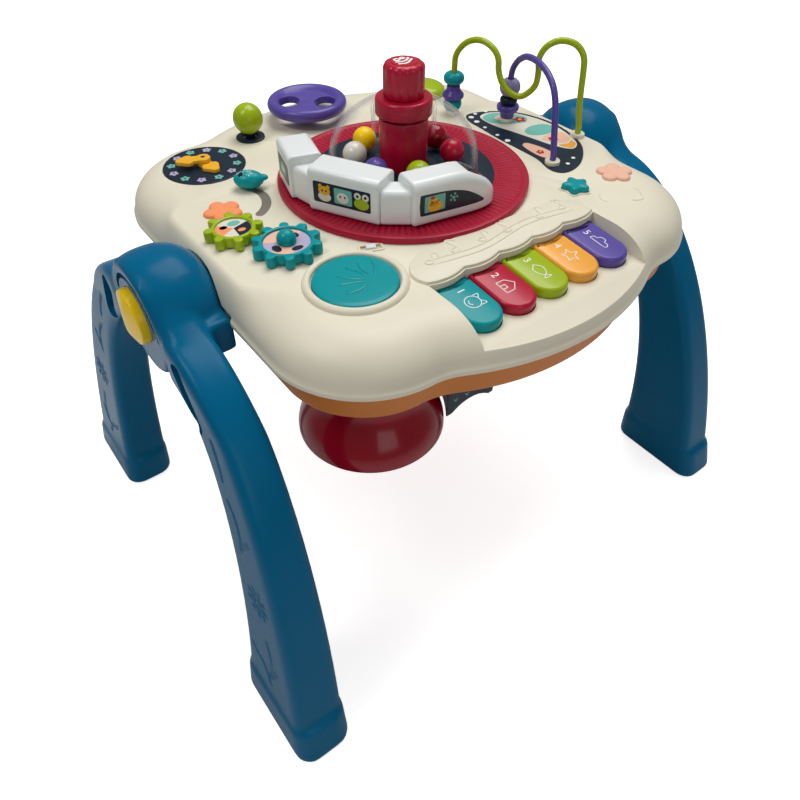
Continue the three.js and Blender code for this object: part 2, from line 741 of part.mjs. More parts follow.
function addTopShell() {
  const outer = cut(deckBody(), pocketTool(0));
  const hollow = cut(deckHollow(), pocketTool(WALL));
  const shell = cut(outer, hollow);
  const drumRing = lathe([
    [DRUM_RING_IN, DECK_Z - CUT], [DRUM_RING_OUT, DECK_Z - CUT], [DRUM_RING_OUT, DECK_Z],
    [(DRUM_RING_IN + DRUM_RING_OUT) / 2, DECK_Z + DRUM_RING_UP], [DRUM_RING_IN, DECK_Z],
    [DRUM_RING_IN, DECK_Z - CUT],
  ]).translate(DRUM_X, DRUM_Y, 0);
  const gearPosts = [LIME_GEAR, TEAL_GEAR].map(
    ([x, y]) => cylinder(GEAR_POST_R, deckUnder, DECK_Z + GEAR_POST_UP, 12).translate(x, y, 0),
  );
  const bosses = wireEnds.map(([x, y]) => lathe([
    [0, deckUnder], [WIRE_BOSS_R, deckUnder], [WIRE_BOSS_R, DECK_Z],
    [WIRE_BOSS_R - WIRE_BOSS_UP / 2, DECK_Z + WIRE_BOSS_UP], [0, DECK_Z + WIRE_BOSS_UP],
  ], 16).translate(x, y, 0));
  const pivot = cylinder(PIVOT_R, deckUnder - ARM_DROP - ARM_THICK, deckUnder + CUT, 12)
    .translate(ARC_X, ARC_Y, 0);
  const full = join(shell, drumRing, ...gearPosts, ...bosses, pivot, ...posts(POST_SPLIT_Z, deckUnder + CUT, POST_R));
  const through = [
    hole(0, 0, FLOOR_R, 32),
    hole(DRUM_X, DRUM_Y, DRUM_R + SLIP, 32),
    hole(STICK_X, STICK_Y, stickHoleR),
    hole(WHEEL_X, WHEEL_Y, WHEEL_SHAFT_R + SLIP),
    hole(LIME_CAP_X, LIME_CAP_Y, LIME_CAP_R + SLIP, 28),
    prism(waveShape(STAR_R + SLIP, STAR_WAVE, 5), deckUnder - CUT, DECK_Z + CUT).translate(STAR_X, STAR_Y, 0),
    switchSlot(deckUnder - CUT, DECK_Z + CUT, 0),
    arcSlot(ARC_R, ARC_WIDE, ARC_FROM, ARC_TO, deckUnder - CUT, DECK_Z + CUT),
    ...wireEnds.map(([x, y]) => cylinder(WIRE_R + GAP, DECK_Z - WIRE_DEEP - CUT, DECK_Z + WIRE_BOSS_UP + CUT, 12)
      .translate(x, y, 0)),
    ...posts(POST_SPLIT_Z - CUT, DECK_Z - 2 * WALL, POST_BORE),
    ...keyWells(),
    axleRod(KEY_AXLE_R + GAP, POCKET_HALF_X + KEY_AXLE_END + CUT),
  ];
  const sunk = [
    cylinder(CLOCK_R + GAP, DECK_Z - CLOCK_SUNK, DECK_Z + CUT, 32).translate(CLOCK_X, CLOCK_Y, 0),
    ...[ORANGE_FLOWER, PEACH_FLOWER].map(([x, y]) => prism(
      petalShape(FLOWER_R + GAP, FLOWER_WAVE, 5), DECK_Z - FLOWER_SUNK, DECK_Z + CUT,
    ).translate(x, y, 0)),
    cut(
      meet(panelTool(GAP), deckSkin(PANEL_THICK + GAP)),
      ...wireEnds.map(([x, y]) => cylinder(WIRE_BOSS_R, DECK_Z - WALL, DECK_Z + 2 * CUT, 16).translate(x, y, 0)),
    ),
  ];
  addPiece('top_shell', cut(full, ...through, ...sunk, ...hubClearance()), CREAM);
}

// Lower shell: a tray whose rim stands inside the deck's skirt
function baseRings(wall, low) {
  const inset = BASE_INSET + wall;
  return [
    { points: deckOutline(inset + BASE_DRAFT + BASE_ROUND), z: low },
    { points: deckOutline(inset + BASE_DRAFT), z: low + BASE_ROUND },
    { points: deckOutline(inset), z: lipZ + BASE_RIM_UP + (wall > 0 ? CUT : 0) },
  ];
}

function bellHole(radius) {
  return cylinder(radius, baseZ - CUT, baseFloor + CUT, 28).translate(DRUM_X, DRUM_Y, 0);
}

function addBottomShell() {
  const tray = cut(loft(baseRings(0, baseZ)), loft(baseRings(WALL, baseFloor)));
  const boardPosts = [-1, 1].map((side) => cylinder(BOARD_POST_R, baseZ + CUT, BOARD_Z - GAP, 12)
    .translate(side * (BOARD_X / 2 - BOARD_POST_R), boardMidY, 0));
  const full = join(tray, ...posts(baseZ + CUT, POST_SPLIT_Z - GAP, POST_R), ...boardPosts);
  const slots = Array.from({ length: 5 }, (_, i) => block(
    -SPEAKER_R / 2, SPEAKER_R / 2, -CUT, CUT, baseZ - CUT, baseFloor + CUT,
  ).translate(SPEAKER_X, SPEAKER_Y + (i - 2) * (SPEAKER_R / 4), 0));
  addPiece('bottom_shell', cut(
    full, ...posts(baseZ - CUT, POST_SPLIT_Z + CUT, POST_BORE), ...slots, ...hubClearance(),
  ), ORANGE);
}

// Leg arch: outline in the YZ plane, leaning outwards and thickening towards the feet
function archShape() {
  const at = ([y, z]) => new THREE.Vector2(y * FOOT_OUT_Y, z * HUB_Z);
  const outer = new THREE.CubicBezierCurve(...LEG_OUTER_SHARES.map(at)).getPoints(LEG_STEPS);
  const inner = new THREE.CubicBezierCurve(...LEG_INNER_SHARES.map(at)).getPoints(LEG_STEPS).reverse();
  const right = [...outer, ...inner];
  const left = right.map((p) => new THREE.Vector2(-p.x, p.y)).reverse();
  return new THREE.Shape([...right, ...left]);
}

function legOutX(z) {
  const foot = footOutX - FOOT_STEP;
  return THREE.MathUtils.lerp(foot, legTopOutX, Math.min(z / LEG_KNEE_Z, 1));
}

function legInX(z) {
  const foot = footInX + FOOT_STEP;
  return THREE.MathUtils.lerp(foot, legTopInX, Math.min(z / LEG_KNEE_Z, 1));
}

// The extruded outline stands along +X from 0 to 1 thickness and is pulled onto the two leg faces
function legPair() {
  const thick = footOutX - footInX;
  const body = pillow(archShape(), 0, thick, LEG_ROUND, 8, 2);
  body.applyMatrix4(new THREE.Matrix4().makeBasis(
    new THREE.Vector3(0, 1, 0), new THREE.Vector3(0, 0, 1), new THREE.Vector3(1, 0, 0),
  ));
  const position = body.getAttribute('position');
  for (let i = 0; i < position.count; i += 1) {
    const z = position.getZ(i);
    position.setX(i, THREE.MathUtils.lerp(legInX(z), legOutX(z), position.getX(i) / thick));
  }
  return body;
}

function roundedBox(lowX, highX, lowY, highY, corner) {
  const shape = new THREE.Shape();
  shape.absarc(highX - corner, highY - corner, corner, 0, QUARTER, false);
  shape.absarc(lowX + corner, highY - corner, corner, QUARTER, 2 * QUARTER, false);
  shape.absarc(lowX + corner, lowY + corner, corner, 2 * QUARTER, 3 * QUARTER, false);
  shape.absarc(highX - corner, lowY + corner, corner, 3 * QUARTER, TURN, false);
  return shape.getPoints(2);
}

function foot() {
  const lean = (footOutX - FOOT_STEP - legTopOutX) * (FOOT_HEIGHT / LEG_KNEE_Z);
  const section = (inset, up) => ({
    points: roundedBox(
      footInX + inset - lean * (up / FOOT_HEIGHT) / 2, footOutX - inset - lean * (up / FOOT_HEIGHT),
      FOOT_IN_Y + inset, FOOT_OUT_Y - inset - FOOT_LEAN * (up / FOOT_HEIGHT), FOOT_CORNER,
    ),
    z: up,
  });
  return loft([
    section(FOOT_STEP, 0), section(0, FOOT_STEP), section(0, FOOT_HEIGHT - FOOT_STEP), section(FOOT_STEP, FOOT_HEIGHT),
  ]);
}

function hubBarrel() {
  const dome = Array.from({ length: 5 }, (_, i) => {
    const angle = (QUARTER * i) / 4;
    return [HUB_R - HUB_DOME * (1 - Math.sin(angle)), hubInnerX + HUB_DOME * (1 - Math.cos(angle))];
  });
  const face = [[HUB_R, hubFaceX - HUB_EDGE], [HUB_R - HUB_EDGE / 2, hubFaceX - HUB_EDGE / 4],
    [HUB_R - HUB_EDGE, hubFaceX]];
  return lathe([[0, hubInnerX], ...dome, ...face, [0, hubFaceX]], 32)
    .rotateY(QUARTER).translate(0, 0, HUB_Z);
}

function legSlots() {
  return [-1, 1].map((side) => {
    const half = SLOT_LONG / 2;
    const shape = roundedBox(-half, half, -SLOT_WIDE / 2, SLOT_WIDE / 2, SLOT_WIDE / 2 - GAP);
    const tool = prism(new THREE.Shape(shape), legTopOutX - SLOT_DEEP, footOutX, 4)
      .rotateZ(radians(SLOT_TURN)).translate(SLOT_MID_Y, HUB_Z - SLOT_DROP, 0);
    return tool.applyMatrix4(new THREE.Matrix4().makeBasis(
      new THREE.Vector3(0, side, 0), new THREE.Vector3(0, 0, 1), new THREE.Vector3(1, 0, 0),
    ));
  });
}

function archGeometry() {
  const saddle = block(
    hubInnerX, legTopInX + CUT, -SADDLE_HALF_Y, SADDLE_HALF_Y, HUB_Z - SADDLE_LOW, HUB_Z + SADDLE_HIGH,
  );
  const feet = [-1, 1].map((side) => foot().scale(1, side, 1));
  const full = cut(join(legPair(), ...feet), ...legSlots());
  const seat = (radius, low) => cylinder(radius, low, hubFaceX + CUT, 28).rotateY(QUARTER)
    .translate(0, 0, HUB_Z + LOCK_UP);
  return cut(
    join(full, hubBarrel(), saddle),
    seat(LOCK_R + SLIP, hubFaceX - LOCK_SUNK),
    seat(LOCK_SHAFT_R + GAP, hubFaceX - LOCK_SUNK - LOCK_SHAFT - GAP),
  );
}

function lockKnob() {
  const low = GAP;
  const body = lathe([
    [0, -LOCK_SHAFT], [LOCK_SHAFT_R, -LOCK_SHAFT], [LOCK_SHAFT_R, low], [LOCK_R, low],
    [LOCK_R, LOCK_THICK - LOCK_RIDGE / 2], [LOCK_R - LOCK_RIDGE / 2, LOCK_THICK], [0, LOCK_THICK],
  ], 28);
  const ridge = new THREE.Shape([
    new THREE.Vector2(-LOCK_RIDGE_HALF, LOCK_THICK - CUT), new THREE.Vector2(LOCK_RIDGE_HALF, LOCK_THICK - CUT),
    new THREE.Vector2(CUT, LOCK_THICK + LOCK_RIDGE), new THREE.Vector2(-CUT, LOCK_THICK + LOCK_RIDGE),
  ]);
  const half = LOCK_R - LOCK_RIDGE / 2;
  return join(body, prism(ridge, -half, half).rotateX(QUARTER));
}

function addArches() {
  ['right', 'left'].forEach((name, i) => {
    const side = i === 0 ? 1 : -1;
    addPiece(`${name}_arch`, archGeometry().scale(side, 1, 1), BLUE);
    const knob = lockKnob().rotateZ(QUARTER).rotateY(side * QUARTER);
    addPiece(`${name}_lock_knob`, knob, YELLOW, [side * (hubFaceX - LOCK_SUNK), 0, HUB_Z + LOCK_UP]);
  });
}

// Turntable: a ring that runs round the popper's neck
function addTurntable() {
  const rim = TABLE_R - TRACK_RIM;
  addPiece('turntable', lathe([
    [TABLE_BORE + SLIP, tableLow], [TABLE_R, tableLow], [TABLE_R, tableTop - CUT], [TABLE_R - CUT, tableTop],
    [rim, tableTop], [rim - CUT, tableTop - CUT / 2], [RING_R + CUT, tableTop - CUT / 2], [RING_R, tableTop],
    [TABLE_BORE + SLIP, tableTop], [TABLE_BORE + SLIP, tableLow],
  ], 32), CRIMSON);
}

function onTrack(geometry, [x, y, heading]) {
  return geometry.rotateZ(radians(heading)).translate(x, y, 0);
}

function carFoot() {
  return lathe([
    [TABLE_BORE, carLow - CUT], [RING_R + SLIP, carLow - CUT], [RING_R + SLIP, ringTop + GAP],
    [TABLE_BORE, ringTop + GAP], [TABLE_BORE, carLow - CUT],
  ], 48);
}

function domeKeepOut() {
  return cylinder(DOME_R + PLAY, carLow - CUT, carTop + CUT, 48);
}

function carBody(long, wide, high, round) {
  const shape = new THREE.Shape();
  shape.moveTo(-wide / 2, 0);
  shape.lineTo(wide / 2, 0);
  shape.lineTo(wide / 2, high - round);
  shape.absarc(wide / 2 - round, high - round, round, 0, QUARTER, false);
  shape.absarc(round - wide / 2, high - round, round, QUARTER, 2 * QUARTER, false);
  return prism(shape, -long / 2, long / 2, 3).rotateX(QUARTER).rotateZ(QUARTER).translate(0, 0, carLow);
}

const highCar = () => carTop - carLow;

function engineBody() {
  const half = ENGINE_LONG / 2;
  const side = new THREE.Shape();
  side.moveTo(-half, 0);
  side.lineTo(-half, highCar());
  side.lineTo(0, highCar());
  side.bezierCurveTo(half / 2, highCar(), half, highCar() * NOSE_FULL, half, highCar() * NOSE_LOW);
  side.lineTo(half - CAR_BEVEL, 0);
  const profile = prism(side, -CAR_WIDE / 2, CAR_WIDE / 2, 8).rotateX(QUARTER).translate(0, 0, carLow);
  const plan = new THREE.Shape();
  plan.moveTo(-half, -CAR_WIDE / 2);
  plan.lineTo(half / 4, -CAR_WIDE / 2);
  plan.bezierCurveTo(half * NOSE_PLAN, -CAR_WIDE / 2, half, -CAR_WIDE / 4, half, 0);
  plan.bezierCurveTo(half, CAR_WIDE / 4, half * NOSE_PLAN, CAR_WIDE / 2, half / 4, CAR_WIDE / 2);
  plan.lineTo(-half, CAR_WIDE / 2);
  const fromAbove = prism(plan, carLow, carTop, 6);
  return meet(profile, fromAbove);
}

function bellows(place) {
  const body = carBody(BELLOWS_LONG, CAR_WIDE - 2 * BELLOWS_IN, highCar() - BELLOWS_SINK, CAR_BEVEL);
  return onTrack(body, place);
}

function addTrain() {
  const engine = onTrack(engineBody(), ENGINE_AT);
  const rear = onTrack(carBody(REAR_LONG, CAR_WIDE, highCar(), CAR_BEVEL), REAR_AT);
  const coach = onTrack(carBody(COACH_LONG, CAR_WIDE, highCar(), CAR_BEVEL), COACH_AT);
  const tools = [carFoot(), domeKeepOut()];
  addPiece('engine', cut(engine, ...tools), WHITE);
  addPiece('coach', cut(coach, ...tools), WHITE);
  addPiece('rear_car', cut(rear, ...tools), WHITE);
  return { engine, coach, rear, tools };
}

function addBellows({ engine, coach, rear, tools }) {
  const swell = (geometry) => {
    const centre = new THREE.Box3().setFromBufferAttribute(geometry.getAttribute('position')).getCenter(new THREE.Vector3());
    const share = 1 + (2 * GAP) / CAR_WIDE;
    return geometry.clone().translate(-centre.x, -centre.y, 0).scale(share, share, 1).translate(centre.x, centre.y, 0);
  };
  addPiece('front_bellows', cut(bellows(FRONT_BELLOWS_AT), swell(engine), swell(coach), ...tools), WHITE);
  addPiece('rear_bellows', cut(bellows(REAR_BELLOWS_AT), swell(rear), swell(coach), ...tools), WHITE);
}

// Ball popper
function addPopper() {
  const neck = TABLE_BORE - SLIP;
  addPiece('popper_base', lathe([
    [COLUMN_R + GAP, DECK_Z + GAP], [neck, DECK_Z + GAP], [neck, tableTop + GAP], [RING_R, tableTop + GAP],
    [RING_R, ringTop - RING_THICK / 2], [DOME_R + RING_THICK, ringTop], [COLUMN_R + GAP, ringTop],
    [COLUMN_R + GAP, DECK_Z + GAP],
  ], 32), NAVY);
  const trayLow = ringTop + GAP;
  const bore = COLUMN_R + 2 * GAP;
  addPiece('ball_tray', lathe([
    [bore, trayLow], [TRAY_OUT_R, trayLow], [TRAY_OUT_R, trayTop + CUT], [BALL_ORBIT_R + BALL_R / 2, trayTop],
    [BALL_ORBIT_R - BALL_R / 2, trayTop], [bore, trayTop + CUT], [bore, trayLow],
  ], 32), NAVY);
  addDome();
  addPlunger();
  BALLS.forEach(([name, turn, color]) => {
    const angle = radians(turn);
    addPiece(name, sphere(BALL_R, 12, 7), { color, roughness: 0.2, metalness: 0 }, [
      BALL_ORBIT_R * Math.cos(angle), BALL_ORBIT_R * Math.sin(angle), trayTop + BALL_R + GAP,
    ]);
  });
}

function domeArc(radius, shoulder, top, mouth, steps = 4) {
  const rise = top - shoulder;
  const last = Math.acos(mouth / radius);
  return Array.from({ length: steps + 1 }, (_, i) => {
    const angle = (last * i) / steps;
    return [radius * Math.cos(angle), shoulder + (rise * Math.sin(angle)) / Math.sin(last)];
  });
}

function addDome() {
  const outer = domeArc(DOME_R, domeShoulder, wellRim, WELL_R);
  const inner = domeArc(DOME_R - DOME_WALL, domeShoulder, wellRim - DOME_WALL, WELL_R);
  const foot = domeFoot;
  addPiece('clear_dome', lathe([
    [DOME_R, foot], ...outer, [WELL_R - DOME_WALL, wellRim], [WELL_R - DOME_WALL, wellLow],
    [WELL_R, wellLow], ...inner.reverse(), [DOME_R - DOME_WALL, foot], [DOME_R, foot],
  ], 32), CLEAR);
}

function addPlunger() {
  addPiece('inner_column', lathe([
    [0, DECK_Z + 2 * GAP], [COLUMN_R, DECK_Z + 2 * GAP], [COLUMN_R, columnTop],
    [COLUMN_R - COLUMN_WALL, columnTop], [COLUMN_R - COLUMN_WALL, DECK_Z + 2 * GAP + COLUMN_WALL],
    [0, DECK_Z + 2 * GAP + COLUMN_WALL],
  ], 24), CRIMSON);
  const collarBore = COLUMN_R + SLIP;
  addPiece('knob_collar', lathe([
    [KNOB_STEM_R + GAP, collarTop - COLUMN_WALL], [collarBore, collarTop - COLUMN_WALL],
    [collarBore, collarLow], [COLLAR_R - CUT, collarLow], [COLLAR_R, collarLow + CUT],
    [COLLAR_R, collarTop - CUT], [COLLAR_R - CUT, collarTop], [KNOB_STEM_R + GAP, collarTop],
    [KNOB_STEM_R + GAP, collarTop - COLUMN_WALL],
  ], 24), CRIMSON);
  const knobLow = collarTop + GAP;
  const ribbed = prism(waveShape(KNOB_R - KNOB_RIB, KNOB_RIB, 12, 4), knobLow, knobTop - 2 * CUT);
  const crown = lathe([
    [0, knobTop - 2 * CUT - GAP], [KNOB_R - 2 * KNOB_RIB, knobTop - 2 * CUT - GAP],
    [KNOB_R - 2 * KNOB_RIB, knobTop - CUT], [KNOB_R - 2 * KNOB_RIB - CUT, knobTop], [0, knobTop],
  ], 24);
  const stem = cylinder(KNOB_STEM_R, columnTop - 2 * KNOB_TRAVEL, knobLow + CUT, 12);
  addPiece('popper_knob', join(ribbed, crown, stem), CRIMSON);
  const springLow = DECK_Z + 2 * GAP + COLUMN_WALL + GAP;
  addPiece('knob_spring', tube(
    SPRING_R - SPRING_WIRE, SPRING_R, springLow, collarTop - COLUMN_WALL - GAP, 16,
  ), STEEL);
}

// Piano keys on one steel axle
function addKeys() {
  const row = new THREE.Group();
  row.position.set(POCKET_X, POCKET_BACK_Y, POCKET_FLOOR_Z);
  row.rotation.x = radians(POCKET_SLOPE);
  group.add(row);
  const bore = cylinder(KEY_AXLE_R + GAP, -KEY_WIDE, KEY_WIDE, 10).rotateY(QUARTER)
    .translate(0, -KEY_AXLE_Y, KEY_AXLE_UP);
  KEY_COLOURS.forEach((color, i) => {
    const body = pillow(keyShape(0), -KEY_DOWN, KEY_UP, KEY_ROUND, 4);
    addPiece(`piano_key_${i + 1}`, cut(body, bore), { color, roughness: 0.25, metalness: 0 }, [keyCentres[i], 0, 0], row);
  });
  addPiece('key_axle', axleRod(KEY_AXLE_R, POCKET_HALF_X + KEY_AXLE_END), STEEL);
}

function addDrum() {
  addPiece('drum_pad', lathe([
    [0, -DRUM_DOWN], [DRUM_R - CUT, -DRUM_DOWN], [DRUM_R, CUT - DRUM_DOWN], [DRUM_R, DRUM_UP - CUT],
    [DRUM_R - 2 * CUT, DRUM_UP], [0, DRUM_UP],
  ], 32), TEAL, [DRUM_X, DRUM_Y, DECK_Z]);
  const top = baseZ - GAP;
  const outer = [
    [BELL_WAIST_R + BELL_WALL, top], [BELL_WAIST_R + BELL_WALL, top - BELL_WALL], [BELL_WAIST_R, top - 2 * BELL_WALL],
    [BELL_WAIST_R, BELL_WAIST_Z],
  ];
  const flare = (inset) => Array.from({ length: 5 }, (_, i) => {
    const angle = (QUARTER * i) / 4;
    return [
      BELL_WAIST_R + (BELL_R - BELL_WAIST_R) * Math.sin(angle) ** 2 - inset,
      BELL_RIM_Z + BELL_WALL + (BELL_WAIST_Z - BELL_RIM_Z - BELL_WALL) * (1 - angle / QUARTER),
    ];
  });
  addPiece('drum_bell', lathe([
    [0, top], ...outer, ...flare(0).slice(1), [BELL_R, BELL_RIM_Z], [BELL_R - BELL_WALL, BELL_RIM_Z],
    ...flare(BELL_WALL).reverse(), [BELL_WAIST_R - BELL_WALL, top - BELL_WALL], [0, top - BELL_WALL],
  ], 24), CRIMSON, [BELL_X, BELL_Y, 0]);
}

function handShape(long, wide) {
  const shape = new THREE.Shape();
  shape.absarc(0, 0, HAND_HUB_R, QUARTER / 2, TURN - QUARTER / 2, false);
  shape.lineTo(long - wide / 2, -wide / 2);
  shape.absarc(long - wide / 2, 0, wide / 2, -QUARTER, QUARTER, false);
  return shape;
}

function addClock() {
  const low = DECK_Z - CLOCK_SUNK + GAP;
  const plateTop = low + CLOCK_PLATE;
  const pinTop = plateTop + 2 * (HAND_THICK + GAP) + GAP;
  addPiece('clock_face', lathe([
    [0, low], [CLOCK_R, low], [CLOCK_R, plateTop], [CLOCK_PIN_R, plateTop], [CLOCK_PIN_R, pinTop], [0, pinTop],
  ], 32), NAVY, [CLOCK_X, CLOCK_Y, 0]);
  const bore = cylinder(CLOCK_PIN_R + GAP, -CUT, HAND_THICK + CUT, 12);
  const hands = [['hour_hand', HOUR_LONG, HOUR_TURN], ['minute_hand', MINUTE_LONG, MINUTE_TURN]];
  hands.forEach(([name, long, turn], i) => {
    const hand = cut(prism(handShape(long, HAND_WIDE), 0, HAND_THICK, 4), bore);
    const piece = addPiece(name, hand, YELLOW, [CLOCK_X, CLOCK_Y, plateTop + GAP + i * (HAND_THICK + GAP)]);
    piece.rotation.z = radians(turn);
  });
}

function addPanel() {
  const holes = wireEnds.map(([x, y]) => cylinder(WIRE_BOSS_R + GAP, DECK_Z - WALL, DECK_Z + CUT, 16).translate(x, y, 0));
  addPiece('picture_panel', cut(meet(panelTool(0), deckSkin(PANEL_THICK)), ...holes), NAVY);
}

// A bead wire: shares of the span and of the height, carried into its upright plane
function addWire(name, right, left, height, shares, finish, bow = () => 0) {
  const base = DECK_Z - WIRE_DEEP;
  const run = new THREE.Vector2(left[0] - right[0], left[1] - right[1]);
  const aside = new THREE.Vector2(-run.y, run.x).normalize();
  const points = shares.map(([along, up], i) => {
    const foot = i === 0 || i === shares.length - 1;
    return new THREE.Vector3(
      right[0] + run.x * along + aside.x * bow(along), right[1] + run.y * along + aside.y * bow(along),
      foot ? base : DECK_Z + up * height,
    );
  });
  const curve = new THREE.CatmullRomCurve3(points, false, 'centripetal');
  const section = new THREE.Shape();
  section.absarc(0, 0, WIRE_R, 0, TURN, false);
  const ring = new THREE.Shape(section.getSpacedPoints(WIRE_SIDES).slice(0, WIRE_SIDES));
  addPiece(name, new THREE.ExtrudeGeometry(ring, { steps: WIRE_POINTS, extrudePath: curve, bevelEnabled: false }), finish);
}

function greenBow(along) {
  return GREEN_BOW * Math.sin(Math.PI * along) ** 3;
}

function bead(name, profile, finish, [x, y], low) {
  const closed = [[BEAD_BORE, 0], ...profile, [BEAD_BORE, profile[profile.length - 1][1]], [BEAD_BORE, 0]];
  addPiece(name, lathe(closed, BEAD_STEPS), finish, [x, y, low]);
}

function addBeads() {
  const seat = DECK_Z + WIRE_BOSS_UP + GAP;
  const barrel = [[BARREL_BEAD_R - CUT, 0], [BARREL_BEAD_R, BARREL_BEAD_HIGH / 2], [BARREL_BEAD_R - CUT, BARREL_BEAD_HIGH]];
  const cup = [[CUP_LOW_R, 0], [CUP_HIGH_R - CUT, CUP_HIGH / 2], [CUP_HIGH_R, CUP_HIGH - CUT], [CUP_HIGH_R - CUT, CUP_HIGH]];
  const cupDown = cup.map(([r, z]) => [r, CUP_HIGH - z]).reverse();
  const oblate = [
    [OBLATE_R / 2, 0], [OBLATE_R, OBLATE_HIGH / 3], [OBLATE_R, (2 * OBLATE_HIGH) / 3], [OBLATE_R / 2, OBLATE_HIGH],
  ];
  const ring = [[RING_BEAD_R - CUT, 0], [RING_BEAD_R, RING_BEAD_HIGH / 2], [RING_BEAD_R - CUT, RING_BEAD_HIGH]];
  bead('teal_barrel_bead', barrel, TEAL, GREEN_LEFT, seat);
  bead('purple_cup_bead', cupDown, PURPLE, GREEN_LEFT, seat + BARREL_BEAD_HIGH + GAP);
  bead('teal_bead', oblate, TEAL, GREEN_LEFT, seat + BARREL_BEAD_HIGH + CUP_HIGH + 2 * GAP);
  bead('purple_base_bead', cup, PURPLE, PURPLE_LEFT, seat);
  bead('navy_ring_bead', ring, NAVY, PURPLE_LEFT, seat + CUP_HIGH + GAP);
  const petals = pillow(waveShape(ROSETTE_R - ROSETTE_SPIKE, ROSETTE_SPIKE, 8, 4), 0, ROSETTE_HIGH, CUT);
  const rosette = cut(petals, cylinder(BEAD_BORE, -CUT, ROSETTE_HIGH + CUT, BEAD_STEPS));
  addPiece('rosette_bead', rosette, LILAC, [...PURPLE_LEFT, seat + CUP_HIGH + RING_BEAD_HIGH + 2 * GAP]);
}

// Round-toothed gears with a dished face
function gearBody(root, teeth) {
  const disc = cylinder(root, 0, GEAR_THICK, 2 * teeth);
  const tooth = lathe([
    [0, 0], [TOOTH_R, 0], [TOOTH_R, GEAR_THICK - 2 * TOOTH_SINK], [0, GEAR_THICK - TOOTH_SINK],
  ], 8);
  const ring = Array.from(
    { length: teeth },
    (_, i) => tooth.clone().translate(root + TOOTH_OUT, 0, 0).rotateZ((TURN * i) / teeth),
  );
  const dish = cylinder(root - GEAR_RIM, GEAR_THICK - GEAR_DISH, GEAR_THICK + CUT, 2 * teeth);
  return cut(join(disc, ...ring), dish, cylinder(GEAR_POST_R + GAP, -CUT, GEAR_POST_UP + GAP, 12));
}

const tealMesh = Math.atan2(LIME_GEAR[1] - TEAL_GEAR[1], LIME_GEAR[0] - TEAL_GEAR[0]);

function addGears() {
  const low = DECK_Z + GAP;
  const limePiece = addPiece('lime_gear', gearBody(LIME_ROOT_R, LIME_TEETH), LIME, [...LIME_GEAR, low]);
  limePiece.rotation.z = tealMesh + Math.PI;
  const tealPiece = addPiece('teal_gear', gearBody(TEAL_ROOT_R, TEAL_TEETH), TEAL, [...TEAL_GEAR, low]);
  tealPiece.rotation.z = tealMesh + Math.PI / TEAL_TEETH;
  const dish = low + GEAR_THICK - GEAR_DISH + GAP;
  const foot = cylinder(GEAR_KNOB_FOOT_R, 0, GEAR_KNOB_UP, 10);
  const head = sphere(GEAR_KNOB_R, 12, 6).translate(0, 0, GEAR_KNOB_UP);
  const below = cylinder(2 * GEAR_KNOB_R, -2 * GEAR_KNOB_R, 0, 10);
  addPiece('gear_knob', cut(join(foot, head), below), TEAL, [...TEAL_GEAR, dish]);
}

// Head that runs along the arc slot on a swinging arm
function addArcSlider() {
  const angle = radians(HEAD_AT);
  const head = sphere(CUT, 16, 8).scale(HEAD_LONG, HEAD_WIDE, HEAD_TALL).rotateZ(radians(HEAD_TURN))
    .translate(ARC_R * Math.cos(angle), ARC_R * Math.sin(angle), DECK_Z + HEAD_TALL + GAP);
  const armTop = deckUnder - ARM_DROP;
  const stem = cylinder(HEAD_STEM_R, armTop - ARM_THICK, DECK_Z + HEAD_TALL, 10)
    .translate(ARC_R * Math.cos(angle), ARC_R * Math.sin(angle), 0);
  const arm = block(-ARM_WIDE / 2, ARC_R + ARM_WIDE / 2, -ARM_WIDE / 2, ARM_WIDE / 2, armTop - ARM_THICK, armTop)
    .rotateZ(angle);
  const bore = cylinder(PIVOT_R + GAP, armTop - ARM_THICK - CUT, armTop + CUT, 12);
  addPiece('slider_head', cut(join(head, stem, arm), bore), TEAL, [ARC_X, ARC_Y, 0]);
}

function addGearStick() {
  const pivotZ = DECK_Z - STICK_PIVOT_DROP;
  const stem = cylinder(STICK_STEM_R, 0, STICK_BALL_UP + STICK_PIVOT_DROP, 12);
  const pivot = sphere(STICK_PIVOT_R, 12, 6);
  const top = sphere(STICK_BALL_R, 14, 9).translate(0, 0, STICK_BALL_UP + STICK_PIVOT_DROP);
  addPiece('gear_stick', join(stem, pivot, top), LIME, [STICK_X, STICK_Y, pivotZ]);
  addPiece('stick_socket', tube(SOCKET_IN_R, SOCKET_OUT_R, 0, SOCKET_THICK, 24), NAVY, [STICK_X, STICK_Y, DECK_Z + GAP]);
}

